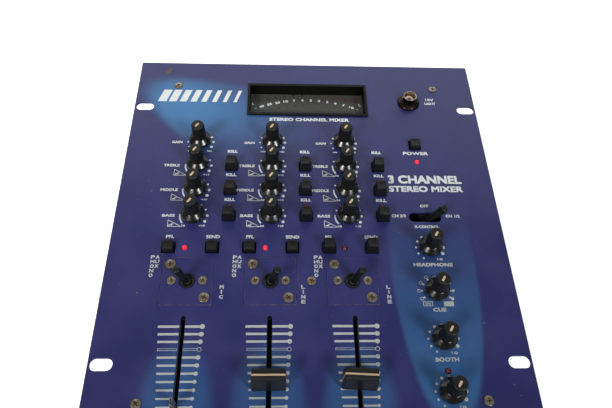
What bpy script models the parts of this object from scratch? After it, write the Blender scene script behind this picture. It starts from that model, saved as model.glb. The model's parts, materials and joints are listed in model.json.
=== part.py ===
"""A ten-inch, three-channel DJ mixer, modelled as the pieces it is put together from.

Everything hangs on one empty, "panel_face", at the middle of the rear edge of the top panel's upper
face. In its frame +X is the user's right, -Y runs towards the user and Z is height above the face.
The world origin is under the middle of the mixer, on the surface that its feet stand on.
"""

import math

import bmesh
import bpy
from mathutils import Vector

MM = 0.001
GAP = 0.3 * MM                       # clearance kept between neighbouring pieces

# ---- case -------------------------------------------------------------------------------------
PANEL_WIDTH = 254 * MM               # ten-inch rack width
PANEL_LENGTH = 355.6 * MM            # eight rack units
PANEL_THICK = 1.6 * MM
PANEL_CORNER = 1.0 * MM
PANEL_TOP = 83 * MM                  # face of the panel above the table
CHASSIS_WIDTH = 212 * MM
CHASSIS_LENGTH = 336 * MM
CHASSIS_WALL = 1.5 * MM
CHASSIS_FLOOR = 8 * MM               # underside of the chassis above the table
CHASSIS_LIP = 11 * MM                # width of the inward lips that the panel is screwed to
FOOT_RADIUS = 9 * MM
FOOT_X = 86 * MM
FOOT_Y = 150 * MM

RACK_SLOT = (12.9 * MM, 7.1 * MM)
RACK_SLOT_X = 119.4 * MM
RACK_SLOT_ROWS = (44.45 * MM, 234.95 * MM, 311.15 * MM)       # distances from the rear edge
PANEL_SCREWS = ((97, 24), (97, 256.6), (97, 342))             # mm, mirrored left and right
CENTRE_SCREW = 184.1 * MM
SCREW_HOLE = 1.7 * MM

# ---- layout of the face, as x and distance from the rear edge -----------------------------------
CHANNEL_X = (-76.2 * MM, -25.4 * MM, 25.4 * MM)
MASTER_X = 76.7 * MM
CHANNEL_KNOB_ROWS = {"gain": 77.5 * MM, "treble": 97.7 * MM, "middle": 117.8 * MM, "bass": 137.8 * MM}
MASTER_KNOB_ROWS = {"headphone": 161 * MM, "cue": 191 * MM, "booth": 221.3 * MM, "master": 251.6 * MM}
KILL_ROWS = {"treble": 97.8 * MM, "middle": 117.8 * MM, "bass": 137.9 * MM}
KILL_OFFSET = 22.9 * MM
KILL_LED_LEAD = 7.9 * MM             # each kill lamp is this far behind its button
LINE_BUTTON_ROW = 161.2 * MM
PFL_OFFSET = -13.75 * MM
SEND_OFFSET = 13.7 * MM
PFL_LED_OFFSET = -3.6 * MM
POWER_ROW = 78.2 * MM
POWER_LED_ROW = 92.8 * MM
CLIP_LED_ROW = 239.7 * MM
PLATE_ROW = 184 * MM
ASSIGN_ROW = 138.2 * MM
FADER_TOP_ROW = 213.1 * MM           # lever position at full level
FADER_TRAVEL = 60 * MM
FADER_ROWS = (258.3 * MM, 245.2 * MM, 245.2 * MM)             # where the three levers stand
CROSSFADER_ROW = 312 * MM
CROSSFADER_TRAVEL = 45 * MM
METER_CENTRE = (0.3 * MM, 36.6 * MM)
LAMP_ROW = 37.6 * MM
PHONES_AT = (MASTER_X, 318 * MM)

# ---- controls -----------------------------------------------------------------------------------
KNOB_PROFILE_MM = ((0, 19.7), (3.7, 19.6), (4.35, 19.0), (4.57, 7.6), (4.8, 7.35), (7.35, 4.8), (7.4, 1.9),
                   (3.0, 1.9), (3.0, -7.4), (0, -7.4))
KNOB_STEPS = 12
WELD_WITHIN = 1e-8                   # turned pieces weld their seam within this distance
KNOB_HOLE = 3.8 * MM
POINTER = (1.3 * MM, 3.7 * MM, 1.0 * MM)
POINTER_TOP = 19.8 * MM
POINTER_OUT = 0.5 * MM               # the pointer's middle lies this far from the knob's axis
POINTER_REST = math.radians(-147)    # all knobs rest at the left-hand end of their scales
BUTTON_BASE = (8.2 * MM, 7.6 * MM)
BUTTON_TOP = (6.5 * MM, 6.5 * MM)
BUTTON_OUT = 8 * MM                  # height above the face when released
BUTTON_TRAVEL = 4 * MM
BUTTON_SKIRT = 4.6 * MM              # straight part below the taper
BUTTON_STEM = 3.5 * MM
LATCHED = {"pfl_button_1", "pfl_button_2", "send_button_1", "send_button_2", "power_button"}

PLATE_SIZE = 32 * MM
TOGGLE_BEZEL = 4.9 * MM
TOGGLE_BORE = 3.7 * MM
TOGGLE_BODY = (13 * MM, 12 * MM, 11 * MM)
TOGGLE_PIVOT = -3 * MM
TOGGLE_LEAN = math.radians(12.7)
TOGGLE_SIDES = (-1, 1, 1)            # channel 1 leans left, channels 2 and 3 lean right
TOGGLE_PROFILE_MM = ((0, 20.0), (2.1, 20.0), (2.35, 19.6), (1.75, 1.0), (1.75, -3.6), (0, -3.6))
ASSIGN_SLOT = (21.9 * MM, 7.1 * MM)
ASSIGN_PIVOT = -8 * MM
ASSIGN_LEAN = math.radians(30)
ASSIGN_PROFILE_MM = ((0, 22.6), (2.5, 22.6), (2.8, 22.1), (2.1, 6.0), (1.75, -2.6), (0, -2.6))
LEVER_STEPS = 12

FADER_SLOT_WIDTH = 2.75 * MM
FADER_SLOT_SPARE = 6.7 * MM          # slot beyond the lever's centre at each end of its travel
LEVER_SIZE = (1.4 * MM, 4.8 * MM, 24.7 * MM)
LEVER_TOP = 13.2 * MM
CAP_BASE = (19.6 * MM, 10.4 * MM)
CAP_TOP = (18.3 * MM, 6.7 * MM)
CAP_HEIGHTS = (1.3 * MM, 15 * MM)
CAP_POCKET = (2.1 * MM, 5.8 * MM)
CAP_TWIST = {3: math.radians(-3.6)}  # channel 3's cap sits slightly askew on its lever
CROSSFADER_PLATE = (92 * MM, 34 * MM)

# ---- meter, sockets and what is inside ------------------------------------------------------------
METER_FRAME = (89.6 * MM, 31 * MM)
METER_WINDOW = (86.4 * MM, 26.8 * MM)
METER_WALL = 0.7 * MM
METER_FRAME_TOP = 1.2 * MM
METER_SCALE = -8.3 * MM              # height of the scale's face
BOARD_THICK = 1.6 * MM
LAMP_PROFILE_MM = ((0, 3.2), (2.4, 3.2), (2.4, 1.6), (4.1, 1.6), (4.1, 7.6), (4.8, 7.6), (4.8, 3.2),
                   (6.2, 2.6), (8.0, 1.4), (8.35, 0.3), (5.6, 0.3), (5.6, -9), (0, -9))
LAMP_HOLE = 6.1 * MM
PHONES_HOLE = 4.8 * MM
PHONES_BARREL = 4.4 * MM
PHONES_BORE = 3.25 * MM
LED_RADIUS = 1.5 * MM
LED_HOLE = 1.85 * MM
LED_POST_TOP = -3 * MM

BOARD_TOP = -20 * MM
BOARD_HALF_WIDTH = 98 * MM
BOARD_ROWS = (62 * MM, 338 * MM)
POT_SIZE = (12 * MM, 11.4 * MM, 11.6 * MM)
SWITCH_SIZE = (7.6 * MM, 7.6 * MM, 6 * MM)
ASSIGN_BODY = (20 * MM, 9 * MM, 8.2 * MM)
FADER_FRAME = (9 * MM, 78 * MM, 15 * MM)

REAR_WALL = PANEL_LENGTH / 2 - (PANEL_LENGTH - CHASSIS_LENGTH) / 2
JACK_BLOCK = (158 * MM, 16 * MM, 34 * MM)
JACK_BLOCK_AT = (-22 * MM, -38 * MM)           # x, and height relative to the face
JACK_COLUMNS = 10
JACK_PITCH = 13.6 * MM
JACK_ROW_PITCH = 15 * MM
JACK_FIRST_X = -92 * MM
JACK_RADIUS = 4.15 * MM
JACK_BORE = 1.6 * MM
JACK_REACH = 8.5 * MM                          # how far the barrels stand out of the rear wall
MIC_X = 45 * MM
MIC_RADIUS = 7 * MM
INLET_AT = (81 * MM, -38 * MM)
INLET_FLANGE = (30 * MM, 2.4 * MM, 24 * MM)
INLET_BODY = (27 * MM, 20 * MM, 20 * MM)
INLET_WELL = (24 * MM, 16 * MM, 16.5 * MM)     # width, height, depth
INLET_PIN = (2 * MM, 11 * MM, 4 * MM)
TRANSFORMER_CORE = (54 * MM, 30 * MM, 44 * MM)
TRANSFORMER_COIL = (34 * MM, 46 * MM, 28 * MM)
TRANSFORMER_AT = (58 * MM, 100 * MM)

MATERIALS = {                                  # colour, roughness, metallic
    "violet_paint": ((0.035, 0.036, 0.125), 0.42, 0.0),
    "black_paint": ((0.012, 0.012, 0.014), 0.5, 0.0),
    "black_plastic": ((0.012, 0.012, 0.012), 0.35, 0.0),
    "lever_plastic": ((0.014, 0.016, 0.017), 0.4, 0.0),
    "bronze_plated": ((0.09, 0.07, 0.045), 0.35, 1.0),
    "zinc_steel": ((0.42, 0.42, 0.42), 0.4, 1.0),
    "scale_print": ((0.035, 0.035, 0.036), 0.6, 0.0),
    "circuit_board": ((0.02, 0.11, 0.04), 0.5, 0.0),
    "foot_rubber": ((0.015, 0.015, 0.015), 0.85, 0.0),
}


def material(name):
    """Return the named Principled material, made on first use."""
    found = bpy.data.materials.get(name)
    if found:
        return found
    colour, roughness, metallic = MATERIALS[name]
    made = bpy.data.materials.new(name)
    made.use_nodes = True
    shader = made.node_tree.nodes["Principled BSDF"]
    shader.inputs["Base Color"].default_value = (*colour, 1.0)
    shader.inputs["Roughness"].default_value = roughness
    shader.inputs["Metallic"].default_value = metallic
    return made


def new_collection(name):
    made = bpy.data.collections.new(name)
    bpy.context.scene.collection.children.link(made)
    return made


def clear_scene():
    for old in list(bpy.data.objects):
        bpy.data.objects.remove(old, do_unlink=True)


# ---- shapes added to a bmesh --------------------------------------------------------------------
def add_box(mesh, centre, size, top=None):
    """A box, or a tapered one when top gives the size of its upper face."""
    made = bmesh.ops.create_cube(mesh, size=1)["verts"]
    wide, deep = top or size[:2]
    for vert in made:
        upper = vert.co.z > 0
        vert.co.x *= wide if upper else size[0]
        vert.co.y *= deep if upper else size[1]
        vert.co.z *= size[2]
        vert.co += Vector(centre)


def add_cylinder(mesh, centre, radius, depth, segments=12, axis="Z"):
    made = bmesh.ops.create_cone(mesh, cap_ends=True, segments=segments, radius1=radius,
                                 radius2=radius, depth=depth)["verts"]
    for vert in made:
        if axis == "Y":
            vert.co = Vector((vert.co.x, -vert.co.z, vert.co.y))
        vert.co += Vector(centre)


def add_slot(mesh, centre, length, width, depth, along="X", segments=22):
    """A round-ended slot: a cylinder whose two halves are pulled apart."""
    made = bmesh.ops.create_cone(mesh, cap_ends=True, segments=segments, radius1=width / 2,
                                 radius2=width / 2, depth=depth)["verts"]
    pull = (length - width) / 2
    place = 0 if along == "X" else 1
    for vert in made:
        vert.co[place] += math.copysign(pull, vert.co[place] + 1e-9)
        vert.co += Vector(centre)


def span_box(mesh, low, high):
    add_box(mesh, [(a + b) / 2 for a, b in zip(low, high)], [b - a for a, b in zip(low, high)])


def filled_mesh(name, fill):
    """A mesh from a function that fills a bmesh."""
    data = bpy.data.meshes.new(name)
    shape = bmesh.new()
    fill(shape)
    shape.to_mesh(data)
    shape.free()
    return data


# ---- objects ------------------------------------------------------------------------------------
class Builder:
    """Makes the named pieces and hangs them on the panel_face empty."""

    def __init__(self):
        clear_scene()
        self.parts = new_collection("dj_mixer")
        self.tools = new_collection("cutters")
        self.face = bpy.data.objects.new("panel_face", None)
        self.face.location = (0, PANEL_LENGTH / 2, PANEL_TOP)
        self.parts.objects.link(self.face)

    def place(self, made, at, tilt=0.0, turn=0.0):
        made.parent = self.face
        made.location = at
        made.rotation_euler = (0, tilt, turn)

    def piece(self, name, finish, fill, at=(0, 0, 0), tilt=0.0, turn=0.0):
        """One piece from a function that fills a bmesh in the piece's own frame."""
        return self.wrap(name, finish, filled_mesh(name, fill), at, tilt, turn)

    def wrap(self, name, finish, data, at, tilt=0.0, turn=0.0):
        data.materials.append(material(finish))
        made = bpy.data.objects.new(name, data)
        self.parts.objects.link(made)
        self.place(made, at, tilt, turn)
        return made

    def cutter(self, name, fill, at=(0, 0, 0)):
        made = bpy.data.objects.new(name, filled_mesh(name, fill))
        self.tools.objects.link(made)
        made.hide_render = True
        made.display_type = "WIRE"
        self.place(made, at)
        return made

    def turned(self, name, finish, profile_mm, steps, at, tilt=0.0, turn=0.0):
        """A piece turned about its own Z axis; its profile runs from the top down the outside."""
        data = bpy.data.meshes.new(name)
        points = [(x * MM, 0, z * MM) for x, z in profile_mm]
        data.from_pydata(points, [(i, i + 1) for i in range(len(points) - 1)], [])
        made = self.wrap(name, finish, data, at, tilt, turn)
        screw = made.modifiers.new("turn", "SCREW")
        screw.steps = screw.render_steps = steps
        screw.use_merge_vertices = True
        screw.merge_threshold = WELD_WITHIN
        screw.use_smooth_shade = True
        return made


def boolean(piece, other, operation):
    made = piece.modifiers.new(operation.lower(), "BOOLEAN")
    made.operation = operation
    made.solver = "EXACT"
    made.object = other


def ease_edges(piece, width, segments=1):
    bevel = piece.modifiers.new("eased edges", "BEVEL")
    bevel.width = width
    bevel.segments = segments
    bevel.limit_method = "ANGLE"
    bevel.angle_limit = math.radians(40)


# ---- places shared by the panel's holes and by what stands in them --------------------------------
def knob_places():
    for number, x in enumerate(CHANNEL_X, 1):
        for name, row in CHANNEL_KNOB_ROWS.items():
            yield f"{name}_knob_{number}", x, row
    for name, row in MASTER_KNOB_ROWS.items():
        yield f"{name}_knob", MASTER_X, row


def button_places():
    for number, x in enumerate(CHANNEL_X, 1):
        for name, row in KILL_ROWS.items():
            yield f"{name}_kill_button_{number}", x + KILL_OFFSET, row
        yield f"pfl_button_{number}", x + PFL_OFFSET, LINE_BUTTON_ROW
        yield f"send_button_{number}", x + SEND_OFFSET, LINE_BUTTON_ROW
    yield "power_button", MASTER_X, POWER_ROW


def led_places():
    for x in CHANNEL_X:
        for row in KILL_ROWS.values():
            yield x + KILL_OFFSET, row - KILL_LED_LEAD
        yield x + PFL_LED_OFFSET, LINE_BUTTON_ROW
    yield MASTER_X, POWER_LED_ROW
    yield MASTER_X, CLIP_LED_ROW


def screw_places():
    for x, row in PANEL_SCREWS:
        yield -x * MM, row * MM
        yield x * MM, row * MM
    yield 0.0, CENTRE_SCREW


# ---- the case -----------------------------------------------------------------------------------
def make_top_panel(build):
    half = PANEL_THICK / 2

    def sheet(mesh):
        add_box(mesh, (0, -PANEL_LENGTH / 2, -half), (PANEL_WIDTH, PANEL_LENGTH, PANEL_THICK))
        upright = [e for e in mesh.edges if abs(e.verts[0].co.z - e.verts[1].co.z) > half]
        bmesh.ops.bevel(mesh, geom=upright, offset=PANEL_CORNER, segments=4, profile=0.5, affect="EDGES")

    def holes(mesh):
        deep = 4 * PANEL_THICK
        for side in (-1, 1):
            for row in RACK_SLOT_ROWS:
                add_slot(mesh, (side * RACK_SLOT_X, -row, -half), *RACK_SLOT, deep)
        for _, x, row in knob_places():
            add_cylinder(mesh, (x, -row, -half), KNOB_HOLE, deep, 12)
        for _, x, row in button_places():
            add_box(mesh, (x, -row, -half), (BUTTON_BASE[0] + 2 * GAP, BUTTON_BASE[1] + 2 * GAP, deep))
        for x, row in led_places():
            add_cylinder(mesh, (x, -row, -half), LED_HOLE, deep, 8)
        for x, row in screw_places():
            add_cylinder(mesh, (x, -row, -half), SCREW_HOLE, deep, 8)
        for x in CHANNEL_X:
            add_box(mesh, (x, -PLATE_ROW, -half), (PLATE_SIZE, PLATE_SIZE, deep))
            middle = FADER_TOP_ROW + FADER_TRAVEL / 2
            length = FADER_TRAVEL + 2 * FADER_SLOT_SPARE
            add_slot(mesh, (x, -middle, -half), length, FADER_SLOT_WIDTH, deep, "Y", 10)
        add_box(mesh, (0, -CROSSFADER_ROW, -half), (*CROSSFADER_PLATE, deep))
        add_slot(mesh, (MASTER_X, -ASSIGN_ROW, -half), *ASSIGN_SLOT, deep)
        add_cylinder(mesh, (MASTER_X, -LAMP_ROW, -half), LAMP_HOLE, deep, 16)
        add_cylinder(mesh, (PHONES_AT[0], -PHONES_AT[1], -half), PHONES_HOLE, deep, 16)
        tub = [side + 2 * (METER_WALL + GAP) for side in METER_WINDOW]
        add_box(mesh, (METER_CENTRE[0], -METER_CENTRE[1], -half), (*tub, deep))

    boolean(build.piece("top_panel", "violet_paint", sheet), build.cutter("panel_holes", holes),
            "DIFFERENCE")


def make_chassis(build):
    top = -PANEL_THICK - GAP
    floor = CHASSIS_FLOOR - PANEL_TOP
    middle = -PANEL_LENGTH / 2
    half_x = CHASSIS_WIDTH / 2
    half_y = CHASSIS_LENGTH / 2

    def outside(mesh):
        span_box(mesh, (-half_x, middle - half_y, floor), (half_x, middle + half_y, top))

    def inside(mesh):
        low = (-half_x + CHASSIS_WALL, middle - half_y + CHASSIS_WALL, floor + CHASSIS_WALL)
        high = (half_x - CHASSIS_WALL, middle + half_y - CHASSIS_WALL, top - CHASSIS_WALL)
        span_box(mesh, low, high)

    def mouth(mesh):
        half = half_x - CHASSIS_LIP
        low = (-half, middle - half_y + 2 * CHASSIS_WALL, top - 3 * CHASSIS_WALL)
        span_box(mesh, low, (half, middle + half_y - 2 * CHASSIS_WALL, top + CHASSIS_WALL))

    def rear_cutouts(mesh):
        wall = middle + half_y - CHASSIS_WALL / 2
        deep = 4 * CHASSIS_WALL
        add_box(mesh, (JACK_BLOCK_AT[0], wall, JACK_BLOCK_AT[1]),
                (JACK_BLOCK[0] + 2 * GAP, deep, JACK_BLOCK[2] + 2 * GAP))
        add_box(mesh, (INLET_AT[0], wall, INLET_AT[1]),
                (INLET_BODY[0] + 2 * GAP, deep, INLET_BODY[2] + 2 * GAP))

    chassis = build.piece("chassis", "black_paint", outside)
    boolean(chassis, build.cutter("chassis_inside", inside), "DIFFERENCE")
    boolean(chassis, build.cutter("chassis_mouth", mouth), "DIFFERENCE")
    boolean(chassis, build.cutter("chassis_rear_cutouts", rear_cutouts), "DIFFERENCE")


def make_feet(build):
    height = CHASSIS_FLOOR - GAP
    profile = ((0, height / MM), (FOOT_RADIUS / MM, height / MM), (FOOT_RADIUS / MM - 1.4, 0), (0, 0))
    corners = [(x, y) for y in (1, -1) for x in (-1, 1)]
    for number, (x, y) in enumerate(corners, 1):
        at = (x * FOOT_X, y * FOOT_Y - PANEL_LENGTH / 2, -PANEL_TOP)
        build.turned(f"foot_{number}", "foot_rubber", profile, 20, at)


# ---- rotary controls and buttons ------------------------------------------------------------------
def make_knobs(build):
    def pointer(mesh):
        add_box(mesh, (0, POINTER_OUT, POINTER_TOP - POINTER[2] / 2), POINTER)

    for name, x, row in knob_places():
        knob = build.turned(name, "black_plastic", KNOB_PROFILE_MM, KNOB_STEPS, (x, -row, 0),
                            turn=-POINTER_REST)
        bar = build.cutter(f"{name}_pointer", pointer, (x, -row, 0))
        bar.rotation_euler.z = -POINTER_REST
        boolean(knob, bar, "UNION")


def make_buttons(build):
    def cap(mesh):
        taper = (*BUTTON_BASE, BUTTON_OUT)
        add_box(mesh, (0, 0, BUTTON_OUT / 2), taper, BUTTON_TOP)
        bottom = [f for f in mesh.faces if f.normal.z < -0.5]
        moved = bmesh.ops.extrude_face_region(mesh, geom=bottom)["geom"]
        skirt = [v for v in moved if isinstance(v, bmesh.types.BMVert)]
        bmesh.ops.translate(mesh, verts=skirt, vec=(0, 0, -BUTTON_SKIRT))
        bmesh.ops.delete(mesh, geom=bottom, context="FACES_ONLY")
        foot = [f for f in mesh.faces if f.normal.z < -0.5]
        bmesh.ops.inset_region(mesh, faces=foot, thickness=(BUTTON_BASE[1] - BUTTON_STEM) / 2)
        stem = bmesh.ops.extrude_face_region(mesh, geom=foot)["geom"]
        ends = [v for v in stem if isinstance(v, bmesh.types.BMVert)]
        bmesh.ops.translate(mesh, verts=ends, vec=(0, 0, -BUTTON_STEM))
        bmesh.ops.delete(mesh, geom=foot, context="FACES_ONLY")

    for name, x, row in button_places():
        height = -BUTTON_TRAVEL if name in LATCHED else 0.0
        build.piece(name, "black_plastic", cap, (x, -row, height))


# ---- toggle switches ------------------------------------------------------------------------------
def make_toggle_plates(build):
    side = PLATE_SIZE - 2 * GAP

    def plate(mesh):
        add_box(mesh, (0, 0, -PANEL_THICK / 2), (side, side, PANEL_THICK))

    def switch(mesh):
        bottom = -PANEL_THICK - TOGGLE_BODY[2]
        span_box(mesh, (-TOGGLE_BODY[0] / 2, -TOGGLE_BODY[1] / 2, bottom),
                 (TOGGLE_BODY[0] / 2, TOGGLE_BODY[1] / 2, -PANEL_THICK / 2))

    def bushing(mesh):
        add_cylinder(mesh, (0, 0, 0), TOGGLE_BEZEL, 1.6 * MM, 16)

    def bore(mesh):
        deep = TOGGLE_BODY[2]
        add_cylinder(mesh, (0, 0, 2 * MM - deep / 2), TOGGLE_BORE, deep, 12)

    for number, x in enumerate(CHANNEL_X, 1):
        at = (x, -PLATE_ROW, 0)
        made = build.piece(f"toggle_plate_{number}", "violet_paint", plate, at)
        boolean(made, build.cutter(f"toggle_switch_{number}", switch, at), "UNION")
        boolean(made, build.cutter(f"toggle_bushing_{number}", bushing, at), "UNION")
        boolean(made, build.cutter(f"toggle_bore_{number}", bore, at), "DIFFERENCE")


def make_toggle_levers(build):
    for number, (x, side) in enumerate(zip(CHANNEL_X, TOGGLE_SIDES), 1):
        build.turned(f"input_toggle_{number}", "lever_plastic", TOGGLE_PROFILE_MM, LEVER_STEPS,
                     (x, -PLATE_ROW, TOGGLE_PIVOT), tilt=side * TOGGLE_LEAN)
    build.turned("assign_toggle", "lever_plastic", ASSIGN_PROFILE_MM, LEVER_STEPS,
                 (MASTER_X, -ASSIGN_ROW, ASSIGN_PIVOT), tilt=ASSIGN_LEAN)


# ---- faders ---------------------------------------------------------------------------------------
def fader_lever(mesh):
    add_box(mesh, (0, 0, LEVER_TOP - LEVER_SIZE[2] / 2), LEVER_SIZE)


def fader_cap(mesh):
    low, high = CAP_HEIGHTS
    add_box(mesh, (0, 0, (low + high) / 2), (*CAP_BASE, high - low), CAP_TOP)


def cap_pocket(mesh):
    high = LEVER_TOP + 2 * GAP
    add_box(mesh, (0, 0, high / 2), (*CAP_POCKET, high))


def make_faders(build):
    def add(label, at, turn, twist=0.0, capped=True):
        build.piece(f"fader_lever_{label}", "zinc_steel", fader_lever, at, turn=turn)
        if not capped:
            return
        cap = build.piece(f"fader_cap_{label}", "black_plastic", fader_cap, at, turn=turn + twist)
        ease_edges(cap, 0.35 * MM)
        pocket = build.cutter(f"cap_pocket_{label}", cap_pocket, at)
        pocket.rotation_euler.z = turn + twist
        boolean(cap, pocket, "DIFFERENCE")

    for number, (x, row) in enumerate(zip(CHANNEL_X, FADER_ROWS), 1):
        add(str(number), (x, -row, 0), 0.0, CAP_TWIST.get(number, 0.0), capped=number > 1)
    add("cross", (0, -CROSSFADER_ROW, 0), math.radians(90))


def make_crossfader_plate(build):
    def plate(mesh):
        add_box(mesh, (0, 0, -PANEL_THICK / 2),
                (CROSSFADER_PLATE[0] - 2 * GAP, CROSSFADER_PLATE[1] - 2 * GAP, PANEL_THICK))

    def frame(mesh):
        length = CROSSFADER_TRAVEL + 3 * FADER_SLOT_SPARE
        span_box(mesh, (-length / 2, -FADER_FRAME[0] / 2, -FADER_FRAME[2]),
                 (length / 2, FADER_FRAME[0] / 2, -PANEL_THICK / 2))

    def slot(mesh):
        length = CROSSFADER_TRAVEL + 2 * FADER_SLOT_SPARE
        top = 2 * MM
        deep = 2 * MM + 12 * MM
        add_slot(mesh, (0, 0, top - deep / 2), length, FADER_SLOT_WIDTH, deep, "X", 10)

    at = (0, -CROSSFADER_ROW, 0)
    made = build.piece("crossfader_plate", "violet_paint", plate, at)
    boolean(made, build.cutter("crossfader_frame", frame, at), "UNION")
    boolean(made, build.cutter("crossfader_slot", slot, at), "DIFFERENCE")


# ---- meter and lamp socket --------------------------------------------------------------------------
def make_meter(build):
    at = (METER_CENTRE[0], -METER_CENTRE[1], 0)
    tub = [side + 2 * METER_WALL for side in METER_WINDOW]
    floor = METER_SCALE - BOARD_THICK - 2 * GAP

    def frame(mesh):
        add_box(mesh, (0, 0, (METER_FRAME_TOP + GAP) / 2), (*METER_FRAME, METER_FRAME_TOP - GAP))

    def body(mesh):
        span_box(mesh, (-tub[0] / 2, -tub[1] / 2, floor - METER_WALL),
                 (tub[0] / 2, tub[1] / 2, METER_FRAME_TOP / 2))

    def recess(mesh):
        span_box(mesh, (-METER_WINDOW[0] / 2, -METER_WINDOW[1] / 2, floor),
                 (METER_WINDOW[0] / 2, METER_WINDOW[1] / 2, 2 * METER_FRAME_TOP))

    def scale(mesh):
        size = (METER_WINDOW[0] - 2 * GAP, METER_WINDOW[1] - 2 * GAP, BOARD_THICK)
        add_box(mesh, (0, 0, METER_SCALE - BOARD_THICK / 2), size)

    bezel = build.piece("meter_bezel", "black_plastic", frame, at)
    boolean(bezel, build.cutter("meter_body", body, at), "UNION")
    boolean(bezel, build.cutter("meter_recess", recess, at), "DIFFERENCE")
    build.piece("meter_board", "scale_print", scale, at)


def make_lamp_socket(build):
    build.turned("lamp_socket", "bronze_plated", LAMP_PROFILE_MM, 20, (MASTER_X, -LAMP_ROW, 0))


# ---- inside and rear --------------------------------------------------------------------------------
def make_main_board(build):
    """The board with what is soldered to it: pots, switches, lamps, faders and the phones jack."""
    first, last = BOARD_ROWS
    under = BOARD_TOP - BOARD_THICK / 2

    def sheet(mesh):
        span_box(mesh, (-BOARD_HALF_WIDTH, -last, BOARD_TOP - BOARD_THICK),
                 (BOARD_HALF_WIDTH, -first, BOARD_TOP))

    def stand(mesh, x, row, size):
        low = (x - size[0] / 2, -row - size[1] / 2, under)
        span_box(mesh, low, (x + size[0] / 2, -row + size[1] / 2, BOARD_TOP + size[2]))

    def bodies(mesh):
        for _, x, row in knob_places():
            stand(mesh, x, row, POT_SIZE)
        for _, x, row in button_places():
            stand(mesh, x, row, SWITCH_SIZE)
        stand(mesh, MASTER_X, ASSIGN_ROW, (ASSIGN_BODY[0], ASSIGN_BODY[1], ASSIGN_BODY[2] - 1 * MM))
        for x in CHANNEL_X:
            stand(mesh, x, FADER_TOP_ROW + FADER_TRAVEL / 2, FADER_FRAME)
        for x, row in led_places():
            high = LED_POST_TOP - under
            add_cylinder(mesh, (x, -row, under + high / 2), LED_RADIUS, high, 6)
        high = 2 * MM - under
        add_cylinder(mesh, (PHONES_AT[0], -PHONES_AT[1], under + high / 2), PHONES_BARREL, high, 16)

    def hollows(mesh):
        length = FADER_TRAVEL + 2 * FADER_SLOT_SPARE - 2 * MM
        deep = 12.5 * MM
        top = BOARD_TOP + FADER_FRAME[2] + 1 * MM
        for x in CHANNEL_X:
            middle = FADER_TOP_ROW + FADER_TRAVEL / 2
            add_box(mesh, (x, -middle, top - deep / 2), (FADER_SLOT_WIDTH, length, deep))
        add_cylinder(mesh, (PHONES_AT[0], -PHONES_AT[1], -6 * MM), PHONES_BORE, 20 * MM, 12)

    board = build.piece("main_board", "circuit_board", sheet)
    boolean(board, build.cutter("board_components", bodies), "UNION")
    boolean(board, build.cutter("board_hollows", hollows), "DIFFERENCE")


def make_transformer(build):
    bottom = CHASSIS_FLOOR + CHASSIS_WALL + GAP - PANEL_TOP
    at = (TRANSFORMER_AT[0], -TRANSFORMER_AT[1], bottom)

    def core(mesh):
        add_box(mesh, (0, 0, TRANSFORMER_CORE[2] / 2), TRANSFORMER_CORE)

    def coil(mesh):
        add_box(mesh, (0, 0, TRANSFORMER_CORE[2] / 2), TRANSFORMER_COIL)
        add_box(mesh, (0, 0, 0.8 * MM), (TRANSFORMER_CORE[0] + 20 * MM, 14 * MM, 1.6 * MM))

    made = build.piece("transformer", "zinc_steel", core, at)
    boolean(made, build.cutter("transformer_coil", coil, at), "UNION")


def make_rear_sockets(build):
    wall = -(PANEL_LENGTH - CHASSIS_LENGTH) / 2
    block_at = (JACK_BLOCK_AT[0], wall, JACK_BLOCK_AT[1])
    jacks = [(JACK_FIRST_X + column * JACK_PITCH - JACK_BLOCK_AT[0], row * JACK_ROW_PITCH)
             for column in range(JACK_COLUMNS) for row in (-0.5, 0.5)]
    mic_x = MIC_X - JACK_BLOCK_AT[0]

    def block(mesh):
        add_box(mesh, (0, -JACK_BLOCK[1] / 2, 0), JACK_BLOCK)

    def barrels(mesh):
        deep = JACK_REACH + 2 * MM
        for x, z in jacks:
            add_cylinder(mesh, (x, JACK_REACH - deep / 2, z), JACK_RADIUS, deep, 10, "Y")
        add_cylinder(mesh, (mic_x, 3 * MM - deep / 2, 0), MIC_RADIUS, deep, 16, "Y")

    def bores(mesh):
        deep = JACK_REACH - 1 * MM
        for x, z in jacks:
            add_cylinder(mesh, (x, JACK_REACH + 1 * MM - deep / 2, z), JACK_BORE, deep, 6, "Y")
        add_cylinder(mesh, (mic_x, 4 * MM - 9 * MM, 0), PHONES_BORE, 18 * MM, 12, "Y")

    made = build.piece("rear_jack_block", "black_plastic", block, block_at)
    boolean(made, build.cutter("jack_barrels", barrels, block_at), "UNION")
    boolean(made, build.cutter("jack_bores", bores, block_at), "DIFFERENCE")

    inlet_at = (INLET_AT[0], wall, INLET_AT[1])

    def flange(mesh):
        add_box(mesh, (0, GAP + INLET_FLANGE[1] / 2, 0), INLET_FLANGE)

    def shell(mesh):
        add_box(mesh, (0, GAP + 1 * MM - INLET_BODY[1] / 2, 0), INLET_BODY)

    def well(mesh):
        deep = INLET_WELL[2] + 1 * MM
        mouth = GAP + INLET_FLANGE[1] + 1 * MM
        add_box(mesh, (0, mouth - deep / 2, 0), (INLET_WELL[0], deep, INLET_WELL[1]))

    def pins(mesh):
        floor = GAP + INLET_FLANGE[1] - INLET_WELL[2]
        for x, z in ((-7 * MM, -2 * MM), (0, 2 * MM), (7 * MM, -2 * MM)):
            low = (x - INLET_PIN[0] / 2, floor - 1 * MM, z - INLET_PIN[2] / 2)
            span_box(mesh, low, (x + INLET_PIN[0] / 2, floor + INLET_PIN[1], z + INLET_PIN[2] / 2))

    inlet = build.piece("power_inlet", "black_plastic", flange, inlet_at)
    boolean(inlet, build.cutter("inlet_shell", shell, inlet_at), "UNION")
    boolean(inlet, build.cutter("inlet_well", well, inlet_at), "DIFFERENCE")
    boolean(inlet, build.cutter("inlet_pins", pins, inlet_at), "UNION")


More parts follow.
